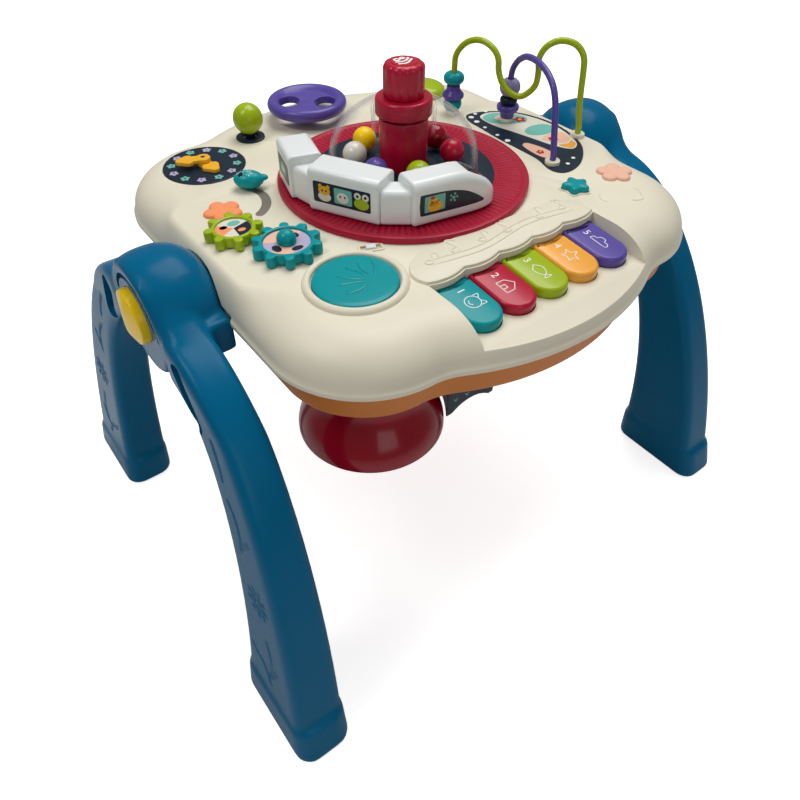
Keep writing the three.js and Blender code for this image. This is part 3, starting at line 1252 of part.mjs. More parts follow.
function addSteeringWheel() {
  const round = WHEEL_THICK / 3;
  const disc = lathe([
    [0, WHEEL_UP], [WHEEL_R - round, WHEEL_UP], [WHEEL_R, WHEEL_UP + round], [WHEEL_R, WHEEL_UP + 2 * round],
    [WHEEL_R - round, WHEEL_UP + WHEEL_THICK], [WHEEL_R / 2, WHEEL_UP + WHEEL_THICK - CUT],
    [0, WHEEL_UP + WHEEL_THICK - CUT],
  ], 32);
  const eyes = [-1, 1].map((side) => {
    const shape = new THREE.Shape();
    shape.absellipse(side * WHEEL_HOLE_AT, 0, WHEEL_HOLE_LONG, WHEEL_HOLE_WIDE, 0, TURN, false);
    return prism(shape, WHEEL_UP - CUT, WHEEL_UP + WHEEL_THICK + CUT, 8);
  });
  const shaft = lathe([
    [0, -WHEEL_SHAFT_DOWN], [WHEEL_SHAFT_R, -WHEEL_SHAFT_DOWN], [WHEEL_SHAFT_R, GAP], [WHEEL_FLANGE_R, GAP],
    [WHEEL_SHAFT_R, WHEEL_UP + CUT], [0, WHEEL_UP + CUT],
  ], 20);
  const wheel = addPiece('steering_wheel', join(cut(disc, ...eyes), shaft), PURPLE, [WHEEL_X, WHEEL_Y, DECK_Z]);
  wheel.rotation.z = radians(WHEEL_TURN);
}

function addSmallPieces() {
  const star = pillow(waveShape(STAR_R, STAR_WAVE, 5), -STAR_DOWN, STAR_UP, CUT);
  addPiece('star_button', star, TEAL, [STAR_X, STAR_Y, DECK_Z]);
  addPiece('lime_cap', lathe([
    [0, -STAR_DOWN], [LIME_CAP_R, -STAR_DOWN],
    ...LIME_CAP_SHARES.map(([across, up]) => [LIME_CAP_R * across, LIME_CAP_UP * up]),
  ], 28), LIME, [LIME_CAP_X, LIME_CAP_Y, DECK_Z]);
  const flower = () => pillow(petalShape(FLOWER_R, FLOWER_WAVE, 5), 0, FLOWER_THICK + FLOWER_SUNK, CUT / 2);
  const flowerLow = DECK_Z - FLOWER_SUNK + GAP;
  addPiece('orange_flower', flower(), SALMON, [...ORANGE_FLOWER, flowerLow]);
  addPiece('peach_flower', flower(), PEACH, [...PEACH_FLOWER, flowerLow]);
  const slide = block(
    -SWITCH_LONG / 2, SWITCH_LONG / 2, GAP - SWITCH_SLOT_WIDE / 2, SWITCH_SLOT_WIDE / 2 - GAP,
    deckUnder - WALL, DECK_Z + SWITCH_UP,
  );
  const lever = addPiece('power_switch', slide, CREAM, [SWITCH_X, SWITCH_Y, 0]);
  lever.rotation.z = radians(SWITCH_TURN);
}

function addInside() {
  const board = block(
    -BOARD_X / 2, BOARD_X / 2, boardMidY - BOARD_Y / 2, boardMidY + BOARD_Y / 2, BOARD_Z, BOARD_Z + BOARD_THICK,
  );
  addPiece('circuit_board', board, BOARD_GREEN);
  addPiece('speaker', lathe([
    [0, 0], [SPEAKER_R, 0], [SPEAKER_R, SPEAKER_HIGH / 4], [SPEAKER_R / 2, (3 * SPEAKER_HIGH) / 4],
    [SPEAKER_R / 2, SPEAKER_HIGH], [0, SPEAKER_HIGH],
  ], 20), STEEL, [SPEAKER_X, SPEAKER_Y, baseFloor + GAP]);
  const box = block(
    BATTERY_LOW_X, BATTERY_HIGH_X, BATTERY_LOW_Y, BATTERY_HIGH_Y, BATTERY_LOW_Z, baseZ - GAP,
  );
  const arch = cylinder(BATTERY_ARCH_R, BATTERY_LOW_Y - CUT, BATTERY_HIGH_Y + CUT, 24).rotateX(-QUARTER)
    .translate((BATTERY_LOW_X + BATTERY_HIGH_X) / 2, 0, BATTERY_LOW_Z + BATTERY_ARCH_UP - BATTERY_ARCH_R);
  const bellSpace = cylinder(BELL_R + 2 * PLAY, BATTERY_LOW_Z - CUT, baseZ, 28).translate(BELL_X, BELL_Y, 0);
  addPiece('battery_box', cut(box, arch, bellSpace), NAVY);
}

addTopShell();
addBottomShell();
addArches();
addTurntable();
addBellows(addTrain());
addPopper();
addKeys();
addDrum();
addClock();
addPanel();
addWire('green_wire', GREEN_RIGHT, GREEN_LEFT, GREEN_SPAN_HEIGHT, GREEN_SHARES, LIME, greenBow);
addWire('purple_wire', PURPLE_RIGHT, PURPLE_LEFT, PURPLE_SPAN_HEIGHT, PURPLE_SHARES, PURPLE);
addBeads();
addGears();
addArcSlider();
addGearStick();
addSteeringWheel();
addSmallPieces();
addInside();

export default group;
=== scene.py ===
# %% [markdown]
# An activity table stands on two blue arches and carries a cream deck with a train, a ball popper, keys and gears.
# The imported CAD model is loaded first. It gives every place and size, so the pieces made below need no fitting.

import math

import bmesh
import bpy
import numpy as np
from mathutils import Matrix, Vector


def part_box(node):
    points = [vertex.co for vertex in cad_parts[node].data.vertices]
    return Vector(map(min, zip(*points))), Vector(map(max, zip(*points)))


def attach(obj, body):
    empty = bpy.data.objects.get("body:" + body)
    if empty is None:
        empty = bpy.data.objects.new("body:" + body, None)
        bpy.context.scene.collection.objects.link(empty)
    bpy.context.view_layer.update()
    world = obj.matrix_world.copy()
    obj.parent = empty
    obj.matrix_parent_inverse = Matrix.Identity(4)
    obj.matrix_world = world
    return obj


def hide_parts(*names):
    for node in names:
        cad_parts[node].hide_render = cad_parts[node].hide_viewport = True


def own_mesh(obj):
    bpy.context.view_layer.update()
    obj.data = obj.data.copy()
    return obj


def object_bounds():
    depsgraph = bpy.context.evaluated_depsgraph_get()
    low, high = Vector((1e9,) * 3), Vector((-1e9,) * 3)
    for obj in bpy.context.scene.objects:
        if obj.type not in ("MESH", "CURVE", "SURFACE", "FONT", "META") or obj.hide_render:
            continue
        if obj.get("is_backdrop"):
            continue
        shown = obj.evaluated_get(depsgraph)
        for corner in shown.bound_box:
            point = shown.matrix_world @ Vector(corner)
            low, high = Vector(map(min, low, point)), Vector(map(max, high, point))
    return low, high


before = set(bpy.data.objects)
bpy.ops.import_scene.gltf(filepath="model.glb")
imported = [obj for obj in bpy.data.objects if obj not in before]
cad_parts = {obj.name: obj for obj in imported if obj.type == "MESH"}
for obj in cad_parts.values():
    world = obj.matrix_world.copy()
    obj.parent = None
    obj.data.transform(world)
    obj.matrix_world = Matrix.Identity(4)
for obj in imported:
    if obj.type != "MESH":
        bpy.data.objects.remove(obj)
cad_low, cad_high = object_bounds()

# %% [markdown]
# The pieces are small, so all lengths below are millimetres, and one factor turns them into Blender's metres.
# A node's box gives the middle and the size of the piece that takes its place.

# %% Units and places
MM = 0.001
TURN = 2 * math.pi
QUARTER = math.pi / 2


def where(node):
    """Middle and size of a CAD node's box, in millimetres."""
    low, high = (np.array(corner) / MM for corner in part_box(node))
    return (low + high) / 2, high - low


def upright(node):
    """A round node's place seen from above, its lowest and highest level and its radius."""
    middle, size = where(node)
    return middle[:2], middle[2] - size[2] / 2, middle[2] + size[2] / 2, size[0] / 2


table_size = where("top_shell")[1]
print("deck size in mm", table_size.round(1))

# %% [markdown]
# The camera is fitted to the photograph: it stands in front of the table's left near corner and looks down on it.
# Its direction is kept as three angles, and the lens as the ratio of focal length to picture width.

# %% Camera
CAMERA_AT = (-279.52, -364.84, 524.99)
CAMERA_DOWN = 0.780291
CAMERA_AROUND = -0.647397
CAMERA_ROLL = 0.003567
PICTURE = 800
FOCAL_PIXELS = 695.46
CENTRE_PIXEL = (398.22, 397.90)


def camera_axes():
    """Right, up and back of the camera: turned round Z, tipped down, then rolled about its own line of sight."""
    around, down = CAMERA_AROUND, CAMERA_DOWN
    ahead = Vector((-math.sin(around) * math.cos(down), math.cos(around) * math.cos(down), -math.sin(down)))
    level = Vector((math.cos(around), math.sin(around), 0))
    above = level.cross(ahead)
    right = level * math.cos(CAMERA_ROLL) + above * math.sin(CAMERA_ROLL)
    return right, right.cross(ahead), -ahead


camera_data = bpy.data.cameras.new("camera")
camera_data.sensor_width = 36
camera_data.lens = camera_data.sensor_width * FOCAL_PIXELS / PICTURE
camera_data.shift_x = (PICTURE / 2 - CENTRE_PIXEL[0]) / PICTURE
camera_data.shift_y = (CENTRE_PIXEL[1] - PICTURE / 2) / PICTURE
camera_data.clip_start, camera_data.clip_end = 0.01, 20
camera = bpy.data.objects.new("camera", camera_data)
camera.matrix_world = Matrix.Translation(Vector(CAMERA_AT) * MM) @ Matrix(camera_axes()).transposed().to_4x4()
bpy.context.collection.objects.link(camera)
bpy.context.scene.camera = camera
print("lens", round(camera_data.lens, 2))

# %% [markdown]
# Every surface below is a grid of points: rows run along one parameter and columns along the other.
# Neighbouring points make quads, and closed ends get one face each. Points that coincide are merged afterwards.

# %% From grids to closed skins


def skin(grid, wrap_rows=False):
    """Points and faces of a grid of rings: columns always close on themselves, rows close too or get end faces."""
    rows, columns = grid.shape[:2]
    row = np.arange(rows if wrap_rows else rows - 1)
    a, b = np.meshgrid(row, np.arange(columns), indexing="ij")
    c, d = (a + 1) % rows, (b + 1) % columns
    faces = np.stack([a * columns + b, a * columns + d, c * columns + d, c * columns + b], -1).reshape(-1, 4).tolist()
    if not wrap_rows:
        faces.append(list(range(columns))[::-1])
        faces.append(list(range((rows - 1) * columns, rows * columns)))
    return grid.reshape(-1, 3), faces


def soften(corners, radii, steps=5):
    """Rounds a line's corners: each becomes a quadratic curve that starts and ends a radius away from it."""
    corners = np.array(corners, float)
    radii = np.broadcast_to(radii, len(corners))
    line = [corners[:1]]
    t = np.linspace(0, 1, steps)[:, None]
    for before, corner, after, radius in zip(corners, corners[1:], corners[2:], radii[1:]):
        back, on = before - corner, after - corner
        reach = min(radius, np.linalg.norm(back) * 0.49, np.linalg.norm(on) * 0.49)
        start = corner + back / np.linalg.norm(back) * reach
        end = corner + on / np.linalg.norm(on) * reach
        line.append((1 - t) ** 2 * start + 2 * t * (1 - t) * corner + t ** 2 * end)
    line.append(corners[-1:])
    return np.concatenate(line)


def lathe(profile, steps=96, at=(0, 0, 0), ring=False):
    """A profile of (radius, height) carried round Z: x = r cos a, y = r sin a. A ring's last row joins its first."""
    profile = np.array(profile, float)
    a = np.linspace(0, TURN, steps, endpoint=False)
    r, z = profile[:, :1], profile[:, 1:]
    grid = np.stack([r * np.cos(a), r * np.sin(a), z + 0 * a], -1)
    return skin(grid + np.array(at, float), wrap_rows=ring)


def ring_lathe(profile, steps=96, at=(0, 0, 0)):
    """A closed profile carried round Z, for rings."""
    return lathe(profile, steps, at, ring=True)


def foot_round(radius, steps):
    """A quarter circle from a bottom face up to the side, as pairs of inset and height."""
    return [(radius * (1 - math.sin(t)), radius * (1 - math.cos(t))) for t in np.linspace(0, QUARTER, steps)]


def rim_round(radius, high, steps):
    """A quarter circle from the side up to a top face, as pairs of inset and height."""
    return [(radius * (1 - math.cos(t)), high - radius + radius * math.sin(t)) for t in np.linspace(0, QUARTER, steps)]


def inward(outline, inset):
    """An outline moved towards its inside: each point goes along the normal of its two neighbours."""
    along = np.roll(outline, -1, 0) - np.roll(outline, 1, 0)
    along /= np.linalg.norm(along, axis=1, keepdims=True)
    return outline + np.stack([-along[:, 1], along[:, 0]], 1) * np.reshape(inset, (-1, 1))


def stack(outline, levels):
    """A solid of an outline's rings: each level is an inset and a height."""
    return skin(np.stack([np.column_stack([inward(outline, i), np.full(len(outline), z)]) for i, z in levels]))


def pillow(outline, low, high, edge, crown=0):
    """A slab with a rounded upper edge: quarter-circle levels, then a crown that rises towards the middle."""
    levels = [(0, low), *rim_round(edge, high, 5)]
    rings = [np.column_stack([inward(outline, i), np.full(len(outline), z)]) for i, z in levels]
    top = rings[-1]
    middle = top.mean(0)
    for s in np.linspace(0.2, 1, 5)[:-1] if crown else []:
        flat = middle[:2] + (top[:, :2] - middle[:2]) * (1 - s)
        rings.append(np.column_stack([flat, top[:, 2] + crown * s * (2 - s)]))
    return skin(np.stack(rings))


def tube(points, radius, sides=16, flat=1.0):
    """A round section carried along a path in a frame that doesn't spin; radius may change along it."""
    points = np.array(points, float)
    radius = np.broadcast_to(radius, len(points))
    ahead = np.gradient(points, axis=0)
    ahead /= np.linalg.norm(ahead, axis=1, keepdims=True)
    side = np.cross(ahead[0], [0, 0, 1] if abs(ahead[0][2]) < 0.9 else [1, 0, 0])
    aside = []
    for direction in ahead:
        side = side - direction * (side @ direction)
        side = side / np.linalg.norm(side)
        aside.append(side)
    up = np.cross(ahead, aside)
    a = np.linspace(0, TURN, sides, endpoint=False)[None, :, None]
    ring = np.array(aside)[:, None] * np.cos(a) + up[:, None] * np.sin(a) * flat
    return skin(points[:, None] + ring * radius[:, None, None])


def smooth_line(points, count, closed=False):
    """A curve through points: Catmull-Rom pieces, evenly spaced by length."""
    p = np.array(points, float)
    p = np.vstack([p[-1:], p, p[:2]]) if closed else np.vstack([2 * p[0] - p[1], p, 2 * p[-1] - p[-2]])
    t = np.linspace(0, 1, 16, endpoint=False)[:, None]
    a, b, c, d = (p[i:len(p) - 3 + i, None] for i in range(4))
    curve = 0.5 * (2 * b + (c - a) * t + (2 * a - 5 * b + 4 * c - d) * t ** 2 + (3 * b - a - 3 * c + d) * t ** 3)
    curve = np.vstack([curve.reshape(-1, p.shape[1]), p[1] if closed else p[-2]])
    return even(curve, count + 1)[:-1] if closed else even(curve, count)


def even(line, count):
    """The same line with evenly spaced points."""
    length = np.concatenate([[0], np.cumsum(np.linalg.norm(np.diff(line, axis=0), axis=1))])
    at = np.linspace(0, length[-1], count)
    return np.stack([np.interp(at, length, column) for column in line.T], 1)


def turned(part, angle, axis="Z"):
    """A part turned about an axis through the origin."""
    return part[0] @ np.array(Matrix.Rotation(angle, 3, axis)).T, part[1]


def moved(part, by):
    """A part shifted by a vector."""
    return part[0] + np.array(by, float), part[1]


def placed(parts, angle, at):
    """Parts turned about Z and then moved to a place on the deck."""
    return [moved(turned(part, angle), (*at, 0)) for part in parts]


def cubic(points, t):
    """A cubic curve through its four control points."""
    t = t[:, None]
    return (1 - t) ** 3 * points[0] + 3 * t * (1 - t) ** 2 * points[1] + 3 * t ** 2 * (1 - t) * points[2] \
        + t ** 3 * points[3]


def circle(radius, steps=96, at=(0, 0)):
    """Points round a circle, counter-clockwise."""
    a = np.linspace(0, TURN, steps, endpoint=False)
    return np.stack([at[0] + radius * np.cos(a), at[1] + radius * np.sin(a)], 1)


def wavy(radius, wave, count, steps=96, at=(0, 0), turn=0.0):
    """An outline whose radius swells count times round: r = radius + wave cos(count a)."""
    a = np.linspace(0, TURN, steps, endpoint=False)
    r = radius + wave * np.cos(count * (a - turn))
    return np.stack([at[0] + r * np.cos(a), at[1] + r * np.sin(a)], 1)


def oval(x, y, rx, ry, steps=28):
    """An ellipse's outline."""
    return circle(1, steps) * (rx, ry) + (x, y)


# %% [markdown]
# All plastics share one recipe: a colour that drifts slightly over a few centimetres, as in coloured granulate, a
# gloss that drifts with it, and a fine moulded grain as a bump. Object coordinates keep the grain's true size.

# %% Finishes


def paint(red, green, blue):
    """An 8-bit colour as the linear values that a shader takes."""
    srgb = np.array([red, green, blue]) / 255
    linear = np.where(srgb <= 0.04045, srgb / 12.92, ((srgb + 0.055) / 1.055) ** 2.4)
    return (*linear.tolist(), 1)


def wire(tree, *pairs):
    """Links pairs of sockets."""
    for out, into in pairs:
        tree.links.new(out, into)


def moulded(name, colour, roughness, coat=0.0, grain=0.15, drift=0.05, grain_size=0.7, shine=0.32, metal=0):
    """Moulded plastic: noise drifts the colour and the roughness, finer noise makes the grain."""
    material = bpy.data.materials.new(name)
    material.use_nodes = True
    tree = material.node_tree
    shader = tree.nodes["Principled BSDF"]
    place = tree.nodes.new("ShaderNodeTexCoord").outputs["Object"]
    cloud = tree.nodes.new("ShaderNodeTexNoise")
    cloud.inputs["Scale"].default_value = 22
    cloud.inputs["Detail"].default_value = 3
    tint = tree.nodes.new("ShaderNodeMix")
    tint.data_type = "RGBA"
    shade = np.array(colour)
    tint.inputs["A"].default_value = (*np.clip(shade[:3] * (1 - drift), 0, 1), 1)
    tint.inputs["B"].default_value = (*np.clip(shade[:3] * (1 + drift), 0, 1), 1)
    gloss = tree.nodes.new("ShaderNodeMapRange")
    gloss.inputs["To Min"].default_value = roughness * 0.88
    gloss.inputs["To Max"].default_value = roughness * 1.12
    speckle = tree.nodes.new("ShaderNodeTexNoise")
    speckle.inputs["Scale"].default_value = 1 / (grain_size * MM)
    speckle.inputs["Detail"].default_value = 2
    bump = tree.nodes.new("ShaderNodeBump")
    bump.inputs["Strength"].default_value = grain
    bump.inputs["Distance"].default_value = 0.1 * MM
    wire(
        tree, (place, cloud.inputs["Vector"]), (place, speckle.inputs["Vector"]),
        (cloud.outputs["Fac"], tint.inputs["Factor"]), (cloud.outputs["Fac"], gloss.inputs["Value"]),
        (tint.outputs["Result"], shader.inputs["Base Color"]), (gloss.outputs["Result"], shader.inputs["Roughness"]),
        (speckle.outputs["Fac"], bump.inputs["Height"]), (bump.outputs["Normal"], shader.inputs["Normal"]),
    )
    shader.inputs["Specular IOR Level"].default_value = shine
    shader.inputs["Metallic"].default_value = metal
    shader.inputs["Coat Weight"].default_value = coat
    shader.inputs["Coat Roughness"].default_value = 0.08
    return material


cream = moulded("cream_plastic", paint(229, 222, 200), 0.42)
orange = moulded("orange_plastic", paint(205, 122, 48), 0.4)
blue = moulded("blue_plastic", paint(0, 98, 138), 0.26, grain=0.1, shine=0.1)
yellow = moulded("yellow_plastic", paint(252, 208, 0), 0.3)
sand_yellow = moulded("hand_yellow", paint(236, 176, 38), 0.4)
crimson = moulded("crimson_plastic", paint(182, 12, 50), 0.25, coat=0.12)
bell_red = moulded("bell_red", paint(150, 4, 30), 0.2, coat=0.2, grain=0.04)
track_red = moulded("track_red", paint(168, 14, 48), 0.36)
navy = moulded("navy_plastic", paint(16, 34, 52), 0.36)
print_navy = moulded("navy_print", paint(24, 34, 50), 0.3, grain=0.03)
lime = moulded("lime_plastic", paint(160, 184, 8), 0.25, coat=0.15, grain=0.06)
teal = moulded("teal_plastic", paint(0, 148, 154), 0.25, coat=0.03, shine=0.2)
teal_print = moulded("teal_print", paint(112, 186, 172), 0.4, grain=0.03)
purple = moulded("purple_plastic", paint(88, 72, 158), 0.32, coat=0.15)
lilac_print = moulded("lilac_print", paint(182, 172, 200), 0.45, grain=0.03)
lilac = moulded("lilac_bead", paint(138, 128, 176), 0.4)
white = moulded("white_plastic", paint(232, 236, 234), 0.26, coat=0.25, grain=0.05, drift=0.015)
ivory = moulded("ivory_plastic", paint(226, 222, 206), 0.35, drift=0.02)
white_print = moulded("white_print", paint(240, 240, 236), 0.4, grain=0.02, drift=0.01)
glass_dark = moulded("windscreen", paint(30, 32, 38), 0.14, coat=0.4, grain=0.0)
peach = moulded("peach_plastic", paint(238, 186, 160), 0.6, grain=0.5, grain_size=0.5)
salmon = moulded("salmon_plastic", paint(248, 152, 100), 0.6, grain=0.5, grain_size=0.5)
amber = moulded("amber_plastic", paint(245, 170, 62), 0.26, coat=0.3, grain=0.05)
grey = moulded("slot_grey", paint(128, 122, 114), 0.35)
ball_white = moulded("ball_white", paint(222, 218, 204), 0.16, coat=0.4, grain=0.02)
steel = moulded("steel_rod", paint(176, 178, 180), 0.3, metal=1)
board_green = moulded("board_green", paint(34, 92, 58), 0.5)
print("finishes", len(bpy.data.materials))

# %% [markdown]
# Clear plastic shows most at its rims, where the eye looks along the wall. A facing weight makes it denser there, so
# light still falls on the balls inside, which a refracting material would leave dark.

# %% Clear plastic


def clear_plastic(name):
    """Almost invisible when seen straight on, and whitish where the wall is seen edge on."""
    material = bpy.data.materials.new(name)
    material.use_nodes = True
    tree = material.node_tree
    shader = tree.nodes["Principled BSDF"]
    shader.inputs["Base Color"].default_value = paint(236, 242, 244)
    shader.inputs["Roughness"].default_value = 0.04
    shader.inputs["Coat Weight"].default_value = 1
    edge = tree.nodes.new("ShaderNodeLayerWeight")
    edge.inputs["Blend"].default_value = 0.35
    veil = tree.nodes.new("ShaderNodeMapRange")
    veil.inputs["From Min"].default_value = 0.45
    veil.inputs["To Min"].default_value = 0.0
    veil.inputs["To Max"].default_value = 0.7
    mist = tree.nodes.new("ShaderNodeTexNoise")
    mist.inputs["Scale"].default_value = 60
    ripple = tree.nodes.new("ShaderNodeBump")
    ripple.inputs["Strength"].default_value = 0.08
    ripple.inputs["Distance"].default_value = 0.3 * MM
    place = tree.nodes.new("ShaderNodeTexCoord").outputs["Object"]
    wire(
        tree, (edge.outputs["Facing"], veil.inputs["Value"]), (veil.outputs["Result"], shader.inputs["Alpha"]),
        (place, mist.inputs["Vector"]), (mist.outputs["Fac"], ripple.inputs["Height"]),
        (ripple.outputs["Normal"], shader.inputs["Normal"]),
    )
    return material


clear = clear_plastic("clear_plastic")

# %% [markdown]
# One function turns parts into a finished piece: it joins them, merges coinciding points, turns the faces outwards
# and shades them smooth up to a sharp-edge angle. It also says which body the piece moves with and which node it
# replaces.

# %% Making a piece
made = {}


def points_of(mesh):
    """All points of a mesh as one array."""
    points = np.empty(len(mesh.vertices) * 3)
    mesh.vertices.foreach_get("co", points)
    return points.reshape(-1, 3)


def part_of(mesh, unit=1.0):
    """A mesh as points, counted in a unit, and faces."""
    return points_of(mesh) / unit, [list(face.vertices) for face in mesh.polygons]


def piece(name, parts, finish, body="base", hides=(), sharp=38, bevel=0, cutters=(), melt=None,
          press=None):
    """Joined closed skins as one object with one finish; cutters are parts that are taken away from it.

    With melt, a voxel size and a number of smoothing rounds, the parts flow into one soft body first. With press, a
    function shifts the points after that.
    """
    mesh = bpy.data.meshes.new(name)
    points, faces, start = [], [], 0
    for part_points, part_faces in parts:
        points.append(part_points)
        faces += [[start + i for i in face] for face in part_faces]
        start += len(part_points)
    mesh.from_pydata((np.concatenate(points) * MM).tolist(), [], faces)
    work = bmesh.new()
    work.from_mesh(mesh)
    bmesh.ops.remove_doubles(work, verts=work.verts, dist=1e-7)
    bmesh.ops.dissolve_degenerate(work, edges=work.edges, dist=1e-8)
    bmesh.ops.recalc_face_normals(work, faces=work.faces)
    work.to_mesh(mesh)
    work.free()
    thing = bpy.data.objects.new(name, mesh)
    bpy.context.collection.objects.link(thing)
    mesh.materials.append(finish)
    if melt:
        voxels = thing.modifiers.new("voxels", "REMESH")
        voxels.mode, voxels.voxel_size = "VOXEL", melt[0] * MM
        flow = thing.modifiers.new("flow", "SMOOTH")
        flow.factor, flow.iterations = 0.5, melt[1]
        bake(thing)
    if press:
        thing.data.vertices.foreach_set("co", (press(points_of(thing.data) / MM) * MM).ravel())
    if cutters:
        tool = piece(f"{name}_tool", cutters, finish, body=None)
        away = thing.modifiers.new("cut", "BOOLEAN")
        away.operation, away.object, away.solver, away.use_self = "DIFFERENCE", tool, "EXACT", True
        bake(thing)
        bpy.data.objects.remove(tool)
    if bevel:
        round_off = thing.modifiers.new("round", "BEVEL")
        round_off.width, round_off.segments, round_off.limit_method = bevel * MM, 2, "ANGLE"
        round_off.angle_limit = math.radians(sharp)
        bake(thing)
    thing.data.shade_smooth()
    thing.data.set_sharp_from_angle(angle=math.radians(sharp))
    if body:
        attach(thing, body)
        made[name] = len(thing.data.polygons)
    if hides:
        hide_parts(*hides)
    return thing


def bake(thing):
    """Turns an object's modifiers into its mesh."""
    seen = thing.evaluated_get(bpy.context.evaluated_depsgraph_get())
    finished = bpy.data.meshes.new_from_object(seen)
    thing.modifiers.clear()
    thing.data = finished


# %% [markdown]
# The deck is a shell with four round lobes. Its outline is a quarter of straight side, lobe arc, soft bridge and
# shallow bulge, mirrored into four. Rings of that outline, moved inwards, climb from the lip over the long rounding
# to the flat top.

# %% Deck outline
DECK_Z = 290
LOBE_R, LOBE_Y = 65, 91.5
BULGE_R, BULGE_HALF_X, BULGE_HANDLE = 175, 68, 12
EDGE_RISE, LIP_DROP, LIP_HEIGHT, LIP_OUT = 23, 5, 3.5, 1.6
EDGE_RUN, EDGE_RUN_HUB, HUB_REACH, HUB_BLEND = 30, 9, 44, 30
WALL = 2.6
half_x, half_y = table_size[:2] / 2
edge_base = DECK_Z - EDGE_RISE
lip_z = edge_base - LIP_DROP


def deck_outline(count=560):
    """Side line, lobe arc, bridge curve and bulge arc of one quarter, mirrored twice and evenly spaced."""
    lobe_x, bulge_y = half_x - LOBE_R, half_y - BULGE_R
    side = np.column_stack([np.full(12, half_x), np.linspace(0, LOBE_Y, 12)])
    lobe = circle(LOBE_R, 241, (lobe_x, LOBE_Y))[:61]
    start = math.acos(BULGE_HALF_X / BULGE_R)
    bulge_start = np.array([BULGE_HALF_X, bulge_y + BULGE_R * math.sin(start)])
    handles = np.array([
        [lobe_x, LOBE_Y + LOBE_R], [lobe_x - BULGE_HANDLE, LOBE_Y + LOBE_R],
        bulge_start + BULGE_HANDLE * np.array([math.sin(start), -math.cos(start)]), bulge_start,
    ])
    bridge = cubic(handles, np.linspace(0, 1, 20))
    a = np.linspace(start, QUARTER, 40)
    bulge = np.column_stack([BULGE_R * np.cos(a), bulge_y + BULGE_R * np.sin(a)])
    quarter = even(np.vstack([side, lobe, bridge, bulge]), count // 4 + 1)
    back = quarter[::-1][1:]
    return np.vstack([quarter[:-1], (quarter[::-1] * [-1, 1])[:-1], (quarter * [-1, -1])[:-1], back * [1, -1]])


def run_at(y):
    """How far the rounding reaches inwards: short beside the hubs, long elsewhere, with a smooth step between."""
    ease = np.clip((abs(y) - HUB_REACH) / HUB_BLEND, 0, 1)
    return EDGE_RUN_HUB + (EDGE_RUN - EDGE_RUN_HUB) * ease * ease * (3 - 2 * ease)


outline = deck_outline()
edge_run = run_at(outline[:, 1])
print("outline points", len(outline))


def edge_levels(wall, steps=16):
    """Quarter ellipse from the skirt's edge up to the flat top, moved in and down by the wall."""
    for a in np.linspace(0, QUARTER, steps):
        yield LIP_OUT + wall + edge_run * (1 - math.cos(a)), edge_base + EDGE_RISE * math.sin(a) - wall


def deck_body():
    """The whole block under the deck's skin: lip, edge band and rounding."""
    return stack(outline, [(0, lip_z), (0, lip_z + LIP_HEIGHT - 0.6), (0.5, lip_z + LIP_HEIGHT), *edge_levels(0)])


def deck_room():
    """The room inside the shell: the same rings moved in and down by the wall."""
    return stack(outline, [(LIP_OUT + WALL, lip_z - 1), *edge_levels(WALL)])


# %% [markdown]
# The keys lie in a pocket that slopes down to the near edge. It is a slab cut into the deck, with one shallow scallop
# in its back wall for each key, and a well under each key lets its tip go down.

# %% Key pocket and keys' outlines
POCKET_X, POCKET_BACK_Y, POCKET_FLOOR_Z = 2, -112, 279.5
POCKET_HALF_X, POCKET_LONG, POCKET_HIGH, SCALLOP = 69.5, 96, 40, 3
POCKET_SLOPE = math.radians(5)
KEY_PITCH, KEY_WIDE, KEY_LONG, KEY_NOSE = 26.8, 25.8, 41.5, 13
KEY_UP, KEY_DOWN, KEY_ROUND, KEY_BACK_GAP, KEY_SLOT = 6.6, 7, 2.4, 1.4, 0.6
KEYS = 5


def bow(start, control, end, steps=12):
    """A quadratic curve, without its last point."""
    t = np.linspace(0, 1, steps, endpoint=False)[:, None]
    return (1 - t) ** 2 * np.array(start) + 2 * t * (1 - t) * np.array(control) + t ** 2 * np.array(end)


def scallops(grow=0):
    """The pocket's back edge from right to left: one bow for each key, and the last corner."""
    half, pitch = POCKET_HALF_X + grow, 2 * (POCKET_HALF_X + grow) / KEYS
    bows = [bow((half - i * pitch, grow), (half - (i + 0.5) * pitch, grow - 2 * SCALLOP),
                (half - (i + 1) * pitch, grow)) for i in range(KEYS)]
    return np.vstack([*bows, [(-half, grow)]])


def pocket_outline(grow=0):
    """Two straight sides, an open near edge and the scallops along the back."""
    half = POCKET_HALF_X + grow
    return np.vstack([[(-half, -POCKET_LONG), (half, -POCKET_LONG)], scallops(grow)])


def key_outline(grow=0):
    """A slightly hollow back, two straight sides and half an ellipse as nose."""
    half, back, straight = KEY_WIDE / 2 + grow, grow - KEY_BACK_GAP, KEY_NOSE - KEY_LONG
    a = np.linspace(math.pi, TURN, 40)
    nose = np.column_stack([half * np.cos(a), straight + (KEY_NOSE + grow) * np.sin(a)])
    return np.vstack([bow((half, back), (0, back - 2 * SCALLOP), (-half, back)),
                      [(-half, back)], even(nose, 40)])


def in_pocket(part):
    """From the pocket's own level frame to its place: tipped by the slope, then moved to the back wall."""
    return moved(turned(part, POCKET_SLOPE, "X"), (POCKET_X, POCKET_BACK_Y, POCKET_FLOOR_Z))


key_middles = [(i - (KEYS - 1) / 2) * KEY_PITCH for i in range(KEYS)]
pocket_tools = [in_pocket(stack(pocket_outline(), [(0, 0), (0, POCKET_HIGH)]))]
pocket_tools += [in_pocket(moved(stack(key_outline(KEY_SLOT), [(0, -WALL - SCALLOP - 1), (0, 1)]), (x, 0, 0)))
                 for x in key_middles]

